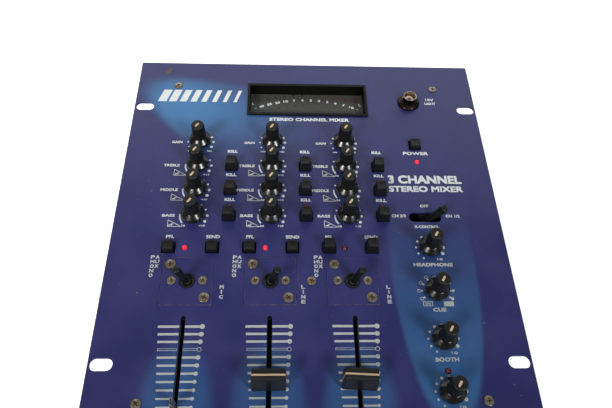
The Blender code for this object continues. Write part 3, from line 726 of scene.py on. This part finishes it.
RING = 8.85  # radius of the dots round a knob
SWEEP = 147.0  # knobs turn this far either side of straight ahead
DOTS = 10  # steps from one end of the scale to the other
DOT_STEP = 2 * SWEEP / DOTS
EQ_DOTS = {-60: 0.65, -30: 0.67, 0: 0.7, 30: 0.72, 60: 0.75, 90: 0.95, 120: 1.05}
WEDGE_LINE = 0.19  # half the width of a wedge's lines


def knob_dots(ink, x, y, first=0, small=0.5, large=0.95):
    for index in range(first, DOTS):
        size = small + (large - small) * index / DOTS
        ink.dot(*around(x, y, RING, -SWEEP + DOT_STEP * index), size)


def eq_scale(ink, x, y):
    """An equaliser's scale: a thick arc on the cut side, growing dots on the boost side, and a wedge."""
    ink.band(x, y, RING, -84, -130, 1.0)
    for angle, size in EQ_DOTS.items():
        ink.dot(*around(x, y, RING, angle), size)
    ink.words("26", x - 6.1, y - 7.6, 2.8, 1.5)
    ink.words("+10", x + 6.0, y - 7.6, 4.0, 1.5)
    wedge = [(x - 16.0, y - 3.4), (x - 16.0, y - 8.3), (x - 7.4, y - 8.3)]
    for index, corner in enumerate(wedge):
        start, end = Vector(wedge[index - 1]), Vector(corner)
        side = (end - start).normalized().orthogonal() * WEDGE_LINE
        ink.area([(start + side)[:], (start - side)[:], (end - side)[:], (end + side)[:]])
    ink.bar(x - 14.2, y - 7.2, 2.3, 0.9)
    ink.bar(x - 13.0, y - 6.3, 1.6, 0.5)


TICK_ENDS = {1: (-14.15, 11.6), 2: (-14.15, 12.25), 3: (-13.8, 12.7)}
HOLLOW_TICK = 3


def fader_ticks(ink, number):
    """Fourteen pairs of ticks beside a fader, which shrink and thin out towards the front."""
    x = CHANNEL_X[number]
    for index in range(14):
        y = -(FADER_TOP_ROW + 4.54 * index)
        left = TICK_ENDS[number][0] + 0.38 * index
        right = TICK_ENDS[number][1] - 0.27 * index
        thick = 1.45 - 0.045 * index
        size = 1.5 - 0.055 * index
        hollow = index == HOLLOW_TICK
        for start, end in ((left, -1.65), (1.6, right - (size - 0.1 if hollow else 0.0))):
            draw = ink.frame if hollow else ink.bar
            draw(x + (start + end) / 2, y, end - start, thick, 0.24)
        if hollow:
            ink.ring(x + right, y, size - 0.15, 0.3)
        else:
            ink.dot(x + right, y, size)


def channel_print(ink, number):
    x = CHANNEL_X[number]
    for node, width in (("gain", 7.3), ("treble", 10.8), ("middle", 11.5), ("bass", 8.3)):
        y = spot(f"{node}_knob_{number}")[1]
        shift = 0.7 if node == "gain" or (number, node) == (1, "treble") else 0.0
        ink.words(node.upper(), x - 12.1 - shift - width / 2, y, width, 2.1)
        if node == "gain":
            knob_dots(ink, x, y, 1, large=1.12)
            ink.words("min", x - 6.5, y - 7.7, 3.4, 1.4)
            ink.words("max", x + 6.8, y - 7.7, 3.4, 1.4)
        else:
            eq_scale(ink, x, y)
            ink.words("KILL", x + 23, spot(f"{node}_kill_button_{number}")[1] + 12.6, 7.0, 2.4)
    ink.words("PFL", x - 13.4, -153.5, 5.2, 2.4)
    ink.words("SEND", x + 13.8, -153.5, 8.75, 2.4)
    ink.column("PHONO", x - 22.4, 168.0, 3.1, 2.4)
    ink.column("AUX", x - 19.5, 168.0, 3.1, 2.4)
    if number == 1:
        ink.column("MIC", x + 21.3, 188.2, 3.2, 2.4)
    else:
        ink.column("LINE", x + (20.1 if number == 2 else 21.8), 188.2, 3.2, 2.4)
    fader_ticks(ink, number)


def cue_scale(ink, x, y):
    """Dots with rings outside them on the left and with second dots on the right, and two boxes below."""
    for index in range(1, DOTS):
        angle = -SWEEP + DOT_STEP * index
        ink.dot(*around(x, y, RING, angle), 0.7)
        if index < 5:
            ink.ring(*around(x, y, RING + 1.8, angle), 0.95, 0.35)
        elif index > 5:
            ink.dot(*around(x, y, RING + 1.7, angle), 0.45 + 0.16 * (index - 5))
    ink.ring(x, y + RING, 1.25, 0.35)
    ink.frame(x - 6.2, y - 8.2, 6.0, 3.0, 0.45)
    ink.words("IN", x - 6.2, y - 8.2, 3.0, 1.3)
    ink.bar(x + 6.6, y - 8.2, 6.0, 3.1)


def master_print(ink):
    x = MASTER_X
    for node, width in (("headphone", 25.0), ("cue", 8.2), ("booth", 13.75), ("master", 17.0)):
        y = spot(f"{node}_knob")[1]
        ink.words(node.upper(), x + 0.5, y - 12.0, width, 2.5)
        if node == "cue":
            cue_scale(ink, x, y)
        else:
            knob_dots(ink, x, y, small=0.65, large=1.15)
            ink.words("10", x + 5.4, y - 8.2, 3.6, 1.6)
    for word, place, row, width, height in (
            ("X-CONTROL", 76.75, 145.5, 16.5, 2.2), ("OFF", 77.1, 129.5, 5.75, 2.2),
            ("CH 2/3", 59.0, 137.25, 9.5, 2.2), ("CH 1/2", 95.25, 137.25, 9.5, 2.2),
            ("POWER", 76.5, 85.5, 18.0, 2.8), ("12V", 93.3, 34.5, 6.25, 2.3),
            ("LIGHT", 93.3, 38.4, 8.25, 2.3), ("PHONES", MASTER_X, 330.0, 14.0, 2.5)):
        ink.words(word, place, -row, width, height)
    ink.words("3 CHANNEL", 80.1, -108.0, 51.2, 6.8)
    ink.words("STEREO MIXER", 80.1, -115.8, 51.2, 4.8)


STRIPES = 8
STRIPE_FIRST, STRIPE_LAST = 6.2, 2.4  # their widths, from the left


def stripes(ink, left, right, bottom, top):
    """Slanting bars that fill the place of a name plate."""
    slant = 0.32 * (top - bottom)
    pitch = (right - left - slant - STRIPE_LAST) / (STRIPES - 1)
    for index in range(STRIPES):
        start = left + index * pitch
        width = STRIPE_FIRST + (STRIPE_LAST - STRIPE_FIRST) * index / (STRIPES - 1)
        end = start + width
        ink.area([(start, bottom), (end, bottom), (end + slant, top), (start + slant, top)])


def make_print():
    ink = Print(WHITE_INK)
    for number in CHANNELS:
        channel_print(ink, number)
    master_print(ink)
    ink.words("STEREO CHANNEL MIXER", 1.25, -55.5, 58.5, 3.0)
    stripes(ink, -110.75, -49.0, -39.5, -28.0)
    for index in range(11):
        x = CROSS_SPOT[0] - CROSS_TRAVEL / 2 + index * CROSS_TRAVEL / 10
        tall = 6.0 if index in (0, 5, 10) else 3.6
        ink.bar(x, CROSS_SPOT[1] + 17 + 1.0 + tall / 2, 1.0, tall, 0.3)
    ink.piece("panel_print", "case", slot="violet_paint")


# ---- knobs and buttons ----
FLUTES = 16


def repeat(nodes, draw, label, place, slot, sharp=35):
    """Pieces with one mesh between them, each standing for a node and riding on the body of that name."""
    data = None
    for node in nodes:
        name = f"{node}_{label}"
        if data:
            add_piece(name, data, node, place(node), [node])
        else:
            data = draw().piece(name, node, place(node), [node], slot, sharp).data


def fluted(angle, height):
    """Broad round ribs with narrow grooves between them, which run out just below the cap's top edge."""
    rib = abs(math.cos(FLUTES * angle / 2)) ** 0.7
    depth = 0.062 * min(1.0, max(0.0, 19.3 - height))
    return 1.0 - depth * (1.0 - rib)


def knob_mesh():
    knob = Shape(STEEL)
    knob.turned([(3.0, -7.4), (3.0, 5.0)], 20)
    skirt = [(3.05, 3.2), (6.6, 3.2), (6.8, 1.9), (7.4, 1.9), (7.38, 4.85), (4.85, 7.4), (4.4, 7.6)]
    knob.use(SKIRT_BLACK).turned([skirt[0]] + eased(skirt[1:-1], 0.3) + [skirt[-1]], 64)
    side = eased([(4.45, 7.3), (4.57, 7.8), (4.36, 19.0), (3.75, 19.62), (2.2, 19.68)], 0.35, 4)
    foot, rest = side[:6], side[6:]
    shaft = [tuple(Vector(foot[-1]).lerp(Vector(rest[0]), step / 4)) for step in range(1, 4)]
    knob.use(CAP_BLACK).turned(foot + shaft + rest, FLUTES * 8, ripple=fluted)
    bar = [rounded(1.3, 3.7, 0.6, level, (0, 0.5)) for level in (19.3, 19.74)]
    bar.append(rounded(1.1, 3.5, 0.5, 19.8, (0, 0.5)))
    knob.use(CREAM).loft(bar)
    return knob


def make_knobs():
    def place(node):
        return on_face(*spot(node), turn=math.radians(SWEEP))

    repeat(KNOBS, knob_mesh, "fluted", place, "knob_plastic")


def button_mesh():
    """A tapered keycap, 8 mm high, with a rim round a shallow dish, on a straight skirt and a plunger."""
    keycap = Shape(BUTTON_BLACK)
    sections = [(8.2, 7.6, 0.6, -4.6), (8.2, 7.6, 0.6, 0.0), (7.35, 7.05, 0.65, 4.4), (6.66, 6.62, 0.7, 7.35),
                (6.5, 6.5, 0.7, 7.72), (6.1, 6.1, 0.65, 7.94), (5.6, 5.6, 0.6, 8.0), (5.0, 5.0, 0.6, 7.95),
                (3.6, 3.6, 0.6, 7.84), (1.6, 1.6, 0.5, 7.78)]
    keycap.loft([rounded(*section) for section in sections])
    keycap.loft([rounded(3.5, 3.5, 0.3, level) for level in (-8.0, -4.4)])
    return keycap


def make_buttons():
    def place(node):
        return on_face(*spot(node), -LATCH_DEPTH if node in LATCHED else 0.0)

    repeat(BUTTONS, button_mesh, "keycap", place, "button_plastic", 28)


def make_lamps():
    profile = [(1.5, -3.2), (1.5, 0.0), (1.4, 0.3), (1.1, 0.6), (0.6, 0.8), (0.2, 0.85)]
    for name, x, y, lit in led_places():
        lens = Shape(RED_LIT if lit else RED_DARK)
        lens.turned(profile, 20)
        lens.piece(name, "case", on_face(x, y))


# ---- toggles ----
def make_toggle_plate(number):
    plate = Shape(PLATE_PAINT)
    screws = [(-11.1, 11.1), (11.1, -11.1)]
    holes = [circle(4.95, 32)] + [circle(1.6, 12, centre=place) for place in screws]
    plate.plate(rounded(31.7, 31.7, 0.4, steps=3), holes, -THICK, 0, 0.15)
    ring = eased([(3.7, -1.5), (4.9, -1.5), (4.9, 0.8), (3.7, 0.8)], 0.25, closed=True)
    plate.use(NUT_BLACK).turned(ring, 40, closed=True)
    # the well under the bushing is near-black: painted shade inside the bushing
    well = [(3.72, -9.0), (3.72, -1.7), (5.6, -1.7), (5.6, -9.4), (3.72, -9.4)]
    plate.use(SHADE).turned(well, 32, closed=True)
    plate.use(STEEL).box(13, 12, -12.5, -1.7, 0.4)
    name = f"toggle_plate_{number}"
    place = on_face(CHANNEL_X[number], PLATE_Y)
    plate.piece(f"{name}_sheet", "case", place, [name], "violet_paint")
    heads = Shape(OLD_SCREW)
    for index, (sx, sy) in enumerate(screws):
        heads.screw(sx, sy, 3.25, 0.7 + number + index)
    for index, side in enumerate((-1, 1)):
        heads.screw(side * 9.4, 0, 2.75, 0.2 * number + index)
    heads.piece(f"{name}_screws", "case", place, slot="zinc_steel")


def lever_piece(name, length, radii, ball, low):
    """A bat-shaped lever on a ball that is centred on its joint."""
    joint = f"{name}_throw"
    lever = Shape(LEVER_BLACK)
    neck, tip = radii
    profile = [(neck * 0.9, low), (neck, low + 0.4), (neck, ball * 1.1), (tip, length - 1.1)]
    profile += [(tip * 0.97, length - 0.5), (tip * 0.82, length - 0.12), (tip * 0.5, length)]
    lever.turned(profile, 32)
    # the ball at the joint is near-black: painted shade round the lever's foot
    turns = [TAU / 2 * (step + 0.5) / 14 for step in range(14)]
    lever.use(SHADE).turned([(ball * math.sin(turn), -ball * math.cos(turn)) for turn in turns], 32)
    x, y, z = joint_spot(joint)
    lever.piece(f"{name}_lever", name, on_face(x, y, z, tilt=lean_of(name, joint)), [name],
                "lever_plastic", 40)


def lean_of(name, joint):
    """Angle from upright at which the CAD lever rests."""
    low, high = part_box(name)
    x, _, z = JOINTS[joint]["pos_m"]
    side = 1 if (low.x + high.x) / 2 > x else -1
    reach = max(high.x - x, x - low.x)
    radius = (high.y - low.y) / 2
    return side * math.atan2(reach - radius * 0.9, high.z - z - radius * 0.1)


def make_toggles():
    for number in CHANNELS:
        make_toggle_plate(number)
        lever_piece(f"input_toggle_{number}", 20.0, (1.75, 2.35), 3.3, -3.6)
    # a dark plate under the assign slot: it stands for the switch's body and darkens the slot as painted
    # shade
    body = Shape(NUT_BLACK)
    body.box(34, 24, -11.9, -11.4, 0.5)
    body.piece("assign_switch_floor_and_shade", "case", on_face(*ASSIGN_SPOT))
    lever_piece("assign_toggle", 22.6, (1.9, 2.8), 3.0, -2.6)


# ---- faders ----
def make_fader_lever(label, node, body, turn):
    """A folded steel tongue: two leaves joined along their rear edge, with a rounded top."""
    tongue = Shape(STEEL)
    x, y = spot(node)
    for side in (-1, 1):
        tongue.at(side * 0.42, 0)
        tongue.loft([rounded(0.5, 4.8, 0.2, -11.4), rounded(0.5, 4.8, 0.2, 12.2),
                     rounded(0.46, 4.3, 0.2, 12.9), rounded(0.3, 3.2, 0.1, 13.2)])
    tongue.at(0, 1.9)
    tongue.loft([rounded(0.7, 0.9, 0.2, -11.3), rounded(0.7, 0.9, 0.2, 12.4)])
    tongue.at()
    tongue.piece(f"fader_tongue_{label}", body, on_face(x, y, turn=turn), [node], "zinc_steel")


CAP_ENDS = ((-1.0, 0.55), (-0.985, 0.16), (-0.955, 0.0), (0.955, 0.0), (0.985, 0.16), (1.0, 0.55))


def make_fader_cap(label, node, body, turn):
    """A cap with sloping fronts, a dished top and a tan index line over its top and ends."""
    cap = Shape(FADER_BLACK)
    x, y = spot(node)

    def section(half_foot, half_top, foot, top, dip):
        side = [(-half_foot, foot), (-half_top - 0.1, top - 0.5), (-half_top + 0.35, top - 0.02)]
        dish = [(-half_top * 0.55, top - dip * 0.6), (0, top - dip), (half_top * 0.55, top - dip * 0.6)]
        return side + dish + [(-px, pz) for px, pz in side[::-1]]

    rings = []
    for share, inset in CAP_ENDS:
        ring = []
        for py, pz in section(5.2 - inset, 3.35 - inset * 0.6, 1.3 + inset * 0.25, 15.0 - inset, 0.45):
            half = 9.8 - (9.8 - 9.15) * (pz - 1.3) / 13.7
            ring.append((share * half, py, pz))
        rings.append(ring)
    cap.loft(rings)
    line = [(-9.83, 1.4), (-9.2, 14.55), (-8.8, 14.72), (8.8, 14.72), (9.2, 14.55), (9.83, 1.4),
            (9.5, 1.4), (8.8, 14.2), (-8.8, 14.2), (-9.5, 1.4)]
    cap.use(TAN).loft([[(px, side * 0.52, pz) for px, pz in line] for side in (-1, 1)])
    cap.piece(f"fader_cap_{label}_moulded", body, on_face(x, y, turn=turn), [node], "cap_plastic", 25)


def cap_turn(node):
    """How far channel 3's cap sits askew, read from the CAD cap's box."""
    low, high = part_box(node)
    spare = (high.y - low.y) / MM - 10.4
    return -math.asin(max(0.0, min(0.2, spare / 19.6)))


def make_faders():
    for number in CHANNELS:
        body = f"fader_{number}"
        make_fader_lever(str(number), f"fader_lever_{number}", body, 0.0)
        if number > 1:
            make_fader_cap(str(number), f"fader_cap_{number}", body, cap_turn(f"fader_cap_{number}"))
    make_fader_lever("cross", "fader_lever_cross", "crossfader", TAU / 4)
    make_fader_cap("cross", "fader_cap_cross", "crossfader", TAU / 4)


def make_crossfader_plate():
    plate = Shape(CROSS_PAINT)
    length = CROSS_TRAVEL + 2 * SLOT_SPARE
    slot = rounded(length, SLOT_WIDTH, SLOT_WIDTH / 2.01, steps=6)
    corners = [(sx * 40, sy * 11) for sx in (-1, 1) for sy in (-1, 1)]
    place = on_face(*CROSS_SPOT)
    plate.plate(rounded(91.4, 33.4, 0.5, steps=3), [slot], -THICK, 0, 0.15)
    plate.use(STEEL)
    for side in (-1, 1):
        plate.at(0, side * 3.0).box(length + 6.7, 2.9, -15, -1.7, 0.3)
    plate.at(0, 0).box(length + 6.7, 6.0, -15, -13.4, 0.3)
    plate.piece("crossfader_plate_sheet", "case", place, ["crossfader_plate"], "violet_paint")
    heads = Shape(OLD_SCREW)
    for index, (sx, sy) in enumerate(corners):
        heads.screw(sx, sy, 3.25, 0.3 + 1.1 * index)
    heads.piece("crossfader_plate_screws", "case", place, slot="zinc_steel")


# ---- meter ----
METER_ARC = (0.1, -121.2)  # centre of the meter's arcs on the face
METER_LEVEL = -8.3
METER_ROWS = (96.9, 86.6)  # radii of the two rows of lamps
METER_NUMBERS = 92.0  # and of the numbers between them
METER_FIRST, METER_STEP = -22, 4.0  # in degrees
METER_LETTERS = 25.0  # where the channel letters stand, on either side
METER_MARKS = ("40", "30", "20", "10", "7", "4", "2", "0", "2", "4", "7", "10")


def make_meter():
    bezel = Shape(METER_BLACK)
    section = [(89.6, 31.0, 0.3), (89.6, 31.0, 1.2), (86.4, 26.8, 1.2), (86.4, 26.8, -10.4),
               (87.8, 28.2, -10.4), (87.8, 28.2, 0.3)]
    smooth = eased(section[:3], 0.3) + section[3:]
    rings = [rounded(width, depth, 0.6, level) for width, depth, level in smooth]
    bezel.loft(rings, closed=True)
    bezel.box(87.6, 28.0, -10.9, -10.4, 0.5)
    bezel.piece("meter_bezel_frame", "case", on_face(*METER_SPOT), ["meter_bezel"], "meter_plastic")

    board = Print(SCALE_GREY)
    board.at(METER_SPOT[0], METER_SPOT[1])
    board.box(85.8, 26.2, METER_LEVEL - 1.6, METER_LEVEL, 0.3)
    board.at(0, 0, METER_LEVEL).use(WHITE_INK)
    for index, mark in enumerate(METER_MARKS):
        angle = METER_FIRST + METER_STEP * index
        colour = "green" if index < 6 else "yellow" if index < 9 else "red"
        board.at(*around(*METER_ARC, METER_NUMBERS, angle), METER_LEVEL, -math.radians(angle)).use(WHITE_INK)
        board.words(mark, 0, 0, 1.9 * len(mark), 2.2)
        for radius in METER_ROWS:
            board.at(*around(*METER_ARC, radius, angle), METER_LEVEL).use(METER_LAMPS[colour])
            board.turned([(1.0, -0.3), (1.0, 0.06), (0.7, 0.2), (0.2, 0.24)], 16)
    board.at(0, 0, METER_LEVEL).use(WHITE_INK)
    rows = (METER_ROWS[0], "L", 1.8, 2.1), (METER_NUMBERS, "-", 1.8, 0.6), (METER_ROWS[1], "R", 2.0, 2.1)
    for side in (-1, 1):
        for radius, text, width, height in rows:
            board.words(text, *around(*METER_ARC, radius, side * METER_LETTERS), width, height)
    board.piece("meter_scale_board", "case", stands_for=["meter_board"], slot="scale_print")


# ---- lamp socket and headphone jack ----
def make_lamp_socket():
    socket = Shape(BRONZE)
    flange = eased([(4.9, 0.0), (8.35, 0.0), (8.35, 0.5), (8.0, 1.4), (6.2, 2.6), (4.9, 3.2)], 0.3)
    socket.turned(flange + [(4.9, -1.0)], 48, closed=True)
    socket.use(BARREL_INSIDE).turned([(4.3, -8), (4.3, 7.45), (4.5, 7.45), (4.5, -8)], 48, closed=True)
    socket.use(BRONZE).turned([(4.48, -8), (4.48, 7.35), (4.85, 7.35), (4.85, -8)], 48, closed=True)
    socket.use(BRASS_RIM).turned(eased([(4.35, 7.25), (4.35, 7.6), (4.82, 7.6), (4.82, 7.25)], 0.1, 2), 48,
                                 closed=True)
    socket.use(BRONZE).turned([(5.6, -9), (5.6, 0.2)], 32)
    for side in (-1, 1):
        socket.at(side * 4.9, 0, 5.4).use(BRASS_RIM)
        socket.box(0.9, 1.1, -0.9, 0.9, 0.3, 0.2)
    socket.at().use(IVORY).turned([(3.6, 1.0), (3.6, 3.9), (3.1, 4.3), (1.5, 4.35)], 40)
    socket.use(AMBER).turned([(1.3, 1.0), (1.3, 4.5), (0.8, 4.8)], 20)
    socket.piece("lamp_socket_detail", "case", on_face(*LAMP_SPOT), ["lamp_socket"], "bronze_plated")


def make_phones_jack():
    nut = Shape(NICKEL)
    nut.plate(eased(circle(6.6, 6), 0.6, closed=True), [circle(4.45, 40)[::-1]], 0.05, 1.7, 0.2)
    nut.turned(eased([(3.3, -9), (4.38, -9), (4.38, 2.0), (3.3, 2.0)], 0.2, closed=True), 40, closed=True)
    nut.piece("phones_jack_nut", "case", on_face(*PHONES_SPOT), slot="socket_plastic")


# ---- the case below the panel ----
def make_chassis():
    """A steel wrap bent into a channel, with lips under the panel and plates for its front and rear."""
    low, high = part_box("chassis")
    half = high.x / MM
    floor, top = (low.z - FACE) / MM, (high.z - FACE) / MM
    front, rear = (low.y - REAR) / MM, (high.y - REAR) / MM
    wall, lip = 1.5, 11.0
    outer = [(-half + lip, top), (-half, top), (-half, floor), (half, floor), (half, top), (half - lip, top)]
    inner = [(x - math.copysign(wall if abs(x) > half - lip / 2 else 0, x),
              z + (wall if z == floor else -wall)) for x, z in outer]
    outline = eased(outer, 2.6, 4) + eased(inner, 1.2, 4)[::-1]
    shell = Shape(POWDER)
    shell.loft([[(x, y, z) for x, z in outline] for y in (front + wall, rear - wall)])
    tall = top - floor
    stand = Matrix.Rotation(TAU / 4, 4, "X")
    holes = []
    for node, wide, deep in (("rear_jack_block", 158.6, 34.6), ("power_inlet", 27.6, 20.6)):
        holes.append(rounded(wide, deep, 0.5, centre=rear_spot(node), steps=2))
    outline = rounded(2 * half - 0.4, tall - 0.4, 2.2, centre=(0, (floor + top) / 2))
    shell.here = Matrix.Translation((0, front + wall, 0)) @ stand
    shell.plate(outline, [], 0, wall, 0.3)
    shell.here = Matrix.Translation((0, rear, 0)) @ stand
    shell.plate(outline, holes, 0, wall, 0.3)
    shell.piece("chassis_shell", "case", stands_for=["chassis"], slot="black_paint")
    screws = Shape(STEEL)
    for side in (-1, 1):
        outward = Matrix.Rotation(side * TAU / 4, 4, "Y")
        for y in (-40.0, -178.0, -316.0):
            for z in (top - 12, floor + 12):
                screws.here = Matrix.Translation((side * half, y, z)) @ outward
                screws.use(POWDER).turned([(3.2, 0), (3.2, 0.5), (2.7, 1.1), (1.4, 1.3)], 24)
                # a flat near-black cross on each head is painted shade standing in for its recess
                screws.use(SHADE).prism(cross(1.5, 0.35), 1.2, 1.32)
    screws.piece("case_side_screws", "case", slot="black_paint")


def make_feet():
    for number in range(1, 5):
        low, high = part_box(f"foot_{number}")
        foot = Shape(RUBBER)
        tall = (high.z - low.z) / MM
        profile = eased([(3.2, 2.6), (3.2, 0.0), (7.6, 0.0), (9.0, 2.0), (9.0, tall), (3.2, tall)], 0.5)
        foot.turned(profile[1:], 40, closed=True)
        foot.use(STEEL).turned([(3.15, 2.4), (2.9, 3.4), (2.9, tall)], 20)
        x, y = spot(f"foot_{number}")
        foot.piece(f"foot_{number}_moulded", "case", on_face(x, y, (low.z - FACE) / MM), [f"foot_{number}"],
                   "foot_rubber")


# ---- rear sockets ----
FACING_REAR = Matrix(((-1, 0, 0, 0), (0, 0, 1, 0), (0, 1, 0, 0), (0, 0, 0, 1)))
SOCKET_COLUMNS = [-92.0 + 13.6 * column for column in range(10)]
SOCKET_NAMES = ("OUT", "OUT", "SEND", "LINE", "LINE", "LINE", "PHONO", "PHONO", "PHONO", "AUX")
SOCKET_RISE = 7.5  # of each row of sockets from the block's middle
MIC_X = 45.0
NAME_RISE = 21.0


def rear_place(x, z):
    """Placement on the rear wall: x runs to the left as seen from the front, y up and z out of the wall."""
    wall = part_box("chassis")[1].y
    return Matrix.Translation((x * MM, wall, FACE + z * MM)) @ FACING_REAR


def make_rear_sockets():
    middle, height = rear_spot("rear_jack_block")
    block = Shape(SOCKET_BLACK)
    block.box(158, 34, -16, 0, 0.8, 0.4)
    sleeve = eased([(3.35, 0.2), (4.15, 0.2), (4.15, 8.5), (3.35, 8.5)], 0.25, closed=True)
    insulator = [(1.6, 0.1), (3.3, 0.1), (3.3, 7.4), (2.9, 7.8), (1.6, 7.8)]
    for x in SOCKET_COLUMNS:
        for side, insert in ((1, WHITE_PLASTIC), (-1, RED_PLASTIC)):
            block.at(middle - x, side * SOCKET_RISE)
            block.use(NICKEL).turned(sleeve, 32, closed=True)
            block.turned([(5.4, 0.0), (5.4, 0.6), (4.2, 0.9)], 6)
            block.use(insert).turned(insulator, 24, closed=True)
            # a near-black disc at the bottom of each socket's hole: painted shade
            block.use(SHADE).turned([(1.6, 0.1), (1.6, 0.4)], 12)
    block.at(middle - MIC_X, 0)
    mouth = eased([(3.3, -8.0), (7.0, -8.0), (7.0, 0.8), (5.0, 3.0), (3.3, 3.0)], 0.3, closed=True)
    block.use(NICKEL).turned(mouth, 40, closed=True)
    place = rear_place(middle, height)
    block.piece("rear_jack_block_detail", "case", place, ["rear_jack_block"], "socket_plastic")


def make_inlet():
    inlet = Shape(SOCKET_BLACK)
    section = [(12.0, 8.0, -16.5), (12.0, 8.0, 2.4), (15.0, 12.0, 2.4), (15.0, 12.0, 0.1),
               (13.5, 10.0, 0.1), (13.5, 10.0, -17.5)]
    inlet.loft([rounded(2 * wide, 2 * tall, 1.6, level) for wide, tall, level in eased(section, 0.4)])
    inlet.use(NICKEL)
    for x in (-7.0, 0.0, 7.0):
        inlet.at(x, 0).box(2, 4, -16.6, -5.5, 0.3, 0.3)
    place = rear_place(*rear_spot("power_inlet"))
    inlet.piece("power_inlet_detail", "case", place, ["power_inlet"], "socket_plastic")


def make_rear_print():
    ink = Print(WHITE_INK)
    for x, name in zip(SOCKET_COLUMNS, SOCKET_NAMES):
        ink.words(name, -x, NAME_RISE, 1.9 * len(name), 2.4)
    ink.words("MIC", -MIC_X, NAME_RISE, 6.0, 2.4)
    ink.words("L", 100.6, SOCKET_RISE, 1.8, 2.4)
    ink.words("R", 100.6, -SOCKET_RISE, 2.0, 2.4)
    lift = Matrix.Translation((0, 0, -FILM[0] * MM))
    place = rear_place(0, rear_spot("rear_jack_block")[1]) @ lift
    ink.piece("rear_print", "case", place, slot="black_paint")


BOARD_DEPTH = 20.0  # of the board's upper side below the face
BOARD_PARTS = 6.0  # height of the parts with metal lids on it


def finish_kept_nodes():
    """Materials for the CAD nodes that keep their own meshes, whose coordinates are the world's."""
    board_face = FACE / MM - BOARD_DEPTH
    board = board_finish("board_and_parts", board_face + 0.05, board_face + BOARD_PARTS)
    iron = metal("transformer_iron", (0.25, 0.24, 0.22), 0.5, (0.1, 0.07, 0.05))
    for name, material in (("main_board", board), ("transformer", iron)):
        mesh = frame["nodes"][name].data
        mesh.materials.clear()
        mesh.materials.append(material)


# ---- floor, light and camera ----
def make_floor():
    made = Finish("pale_floor", (0.93, 0.93, 0.93), 0.8)
    made.colour(made.mix(made.noise(60, 3), (0.92, 0.92, 0.92), (0.95, 0.95, 0.95)))
    made.plug(made.shader.inputs["Emission Color"], (1.0, 1.0, 1.0))
    made.plug(made.shader.inputs["Emission Strength"], 0.7)
    floor = Shape(made.made)
    floor.loft([rounded(9000, 9000, 100, level) for level in (-20, 0)])
    add_object("floor", floor.data("floor"))


def soft_light(name, place, target, size, power, colour, spread=180):
    data = bpy.data.lights.new(name, "AREA")
    data.shape = "RECTANGLE"
    data.size, data.size_y = size
    data.energy = power
    data.color = colour
    data.spread = math.radians(spread)
    light = add_object(name, data)
    light.location = place
    light.rotation_euler = (Vector(target) - Vector(place)).to_track_quat("-Z", "Y").to_euler()
    light.visible_camera = False


WARM, COOL, NEUTRAL = (1.0, 0.93, 0.87), (0.92, 0.97, 1.0), (0.95, 0.97, 1.0)


def make_lights():
    world = bpy.data.worlds.new("studio")
    world.use_nodes = True
    background = world.node_tree.nodes["Background"]
    background.inputs["Color"].default_value = (*NEUTRAL, 1)
    background.inputs["Strength"].default_value = 0.10
    bpy.context.scene.world = world
    aim = (-0.05, 0.10, FACE)
    soft_light("left_window", (-0.62, -0.62, 0.83), aim, (0.36, 0.33), 0.49, WARM, 32)
    soft_light("right_window", (0.62, -0.62, 0.83), aim, (0.33, 0.33), 0.42, COOL, 32)
    soft_light("rear_wall", (-0.1, 0.6, 0.45), (-0.1, 0.0, 0.40), (1.6, 0.7), 5.0, NEUTRAL)
    bpy.context.scene.view_settings.view_transform = "Standard"


CAMERA_PLACE = (-0.019626, -0.149740, 0.404369)
PITCH, YAW, ROLL = 1.01448707, -0.0859963437, 0.0794638540
FOCAL_LENGTH, SENSOR_WIDTH = 33.35, 36


def make_camera():
    turn = Matrix.Rotation(YAW, 3, "Z")
    right = turn @ Vector((1, 0, 0))
    ahead = turn @ Vector((0, math.cos(PITCH), -math.sin(PITCH)))
    up = turn @ Vector((0, math.sin(PITCH), math.cos(PITCH)))
    rolled_right = right * math.cos(ROLL) + up * math.sin(ROLL)
    rolled_up = up * math.cos(ROLL) - right * math.sin(ROLL)
    data = bpy.data.cameras.new("camera")
    data.sensor_width = SENSOR_WIDTH
    data.lens = FOCAL_LENGTH
    data.clip_start = 0.01
    camera = add_object("camera", data)
    axes = Matrix((rolled_right, rolled_up, -ahead)).transposed()
    camera.matrix_world = Matrix.Translation(CAMERA_PLACE) @ axes.to_4x4()
    bpy.context.scene.camera = camera


make_panel()
make_print()
make_knobs()
make_buttons()
make_lamps()
make_toggles()
make_faders()
make_crossfader_plate()
make_meter()
make_lamp_socket()
make_phones_jack()
make_chassis()
make_feet()
make_rear_sockets()
make_inlet()
make_rear_print()
finish_kept_nodes()
make_floor()
make_lights()
make_camera()
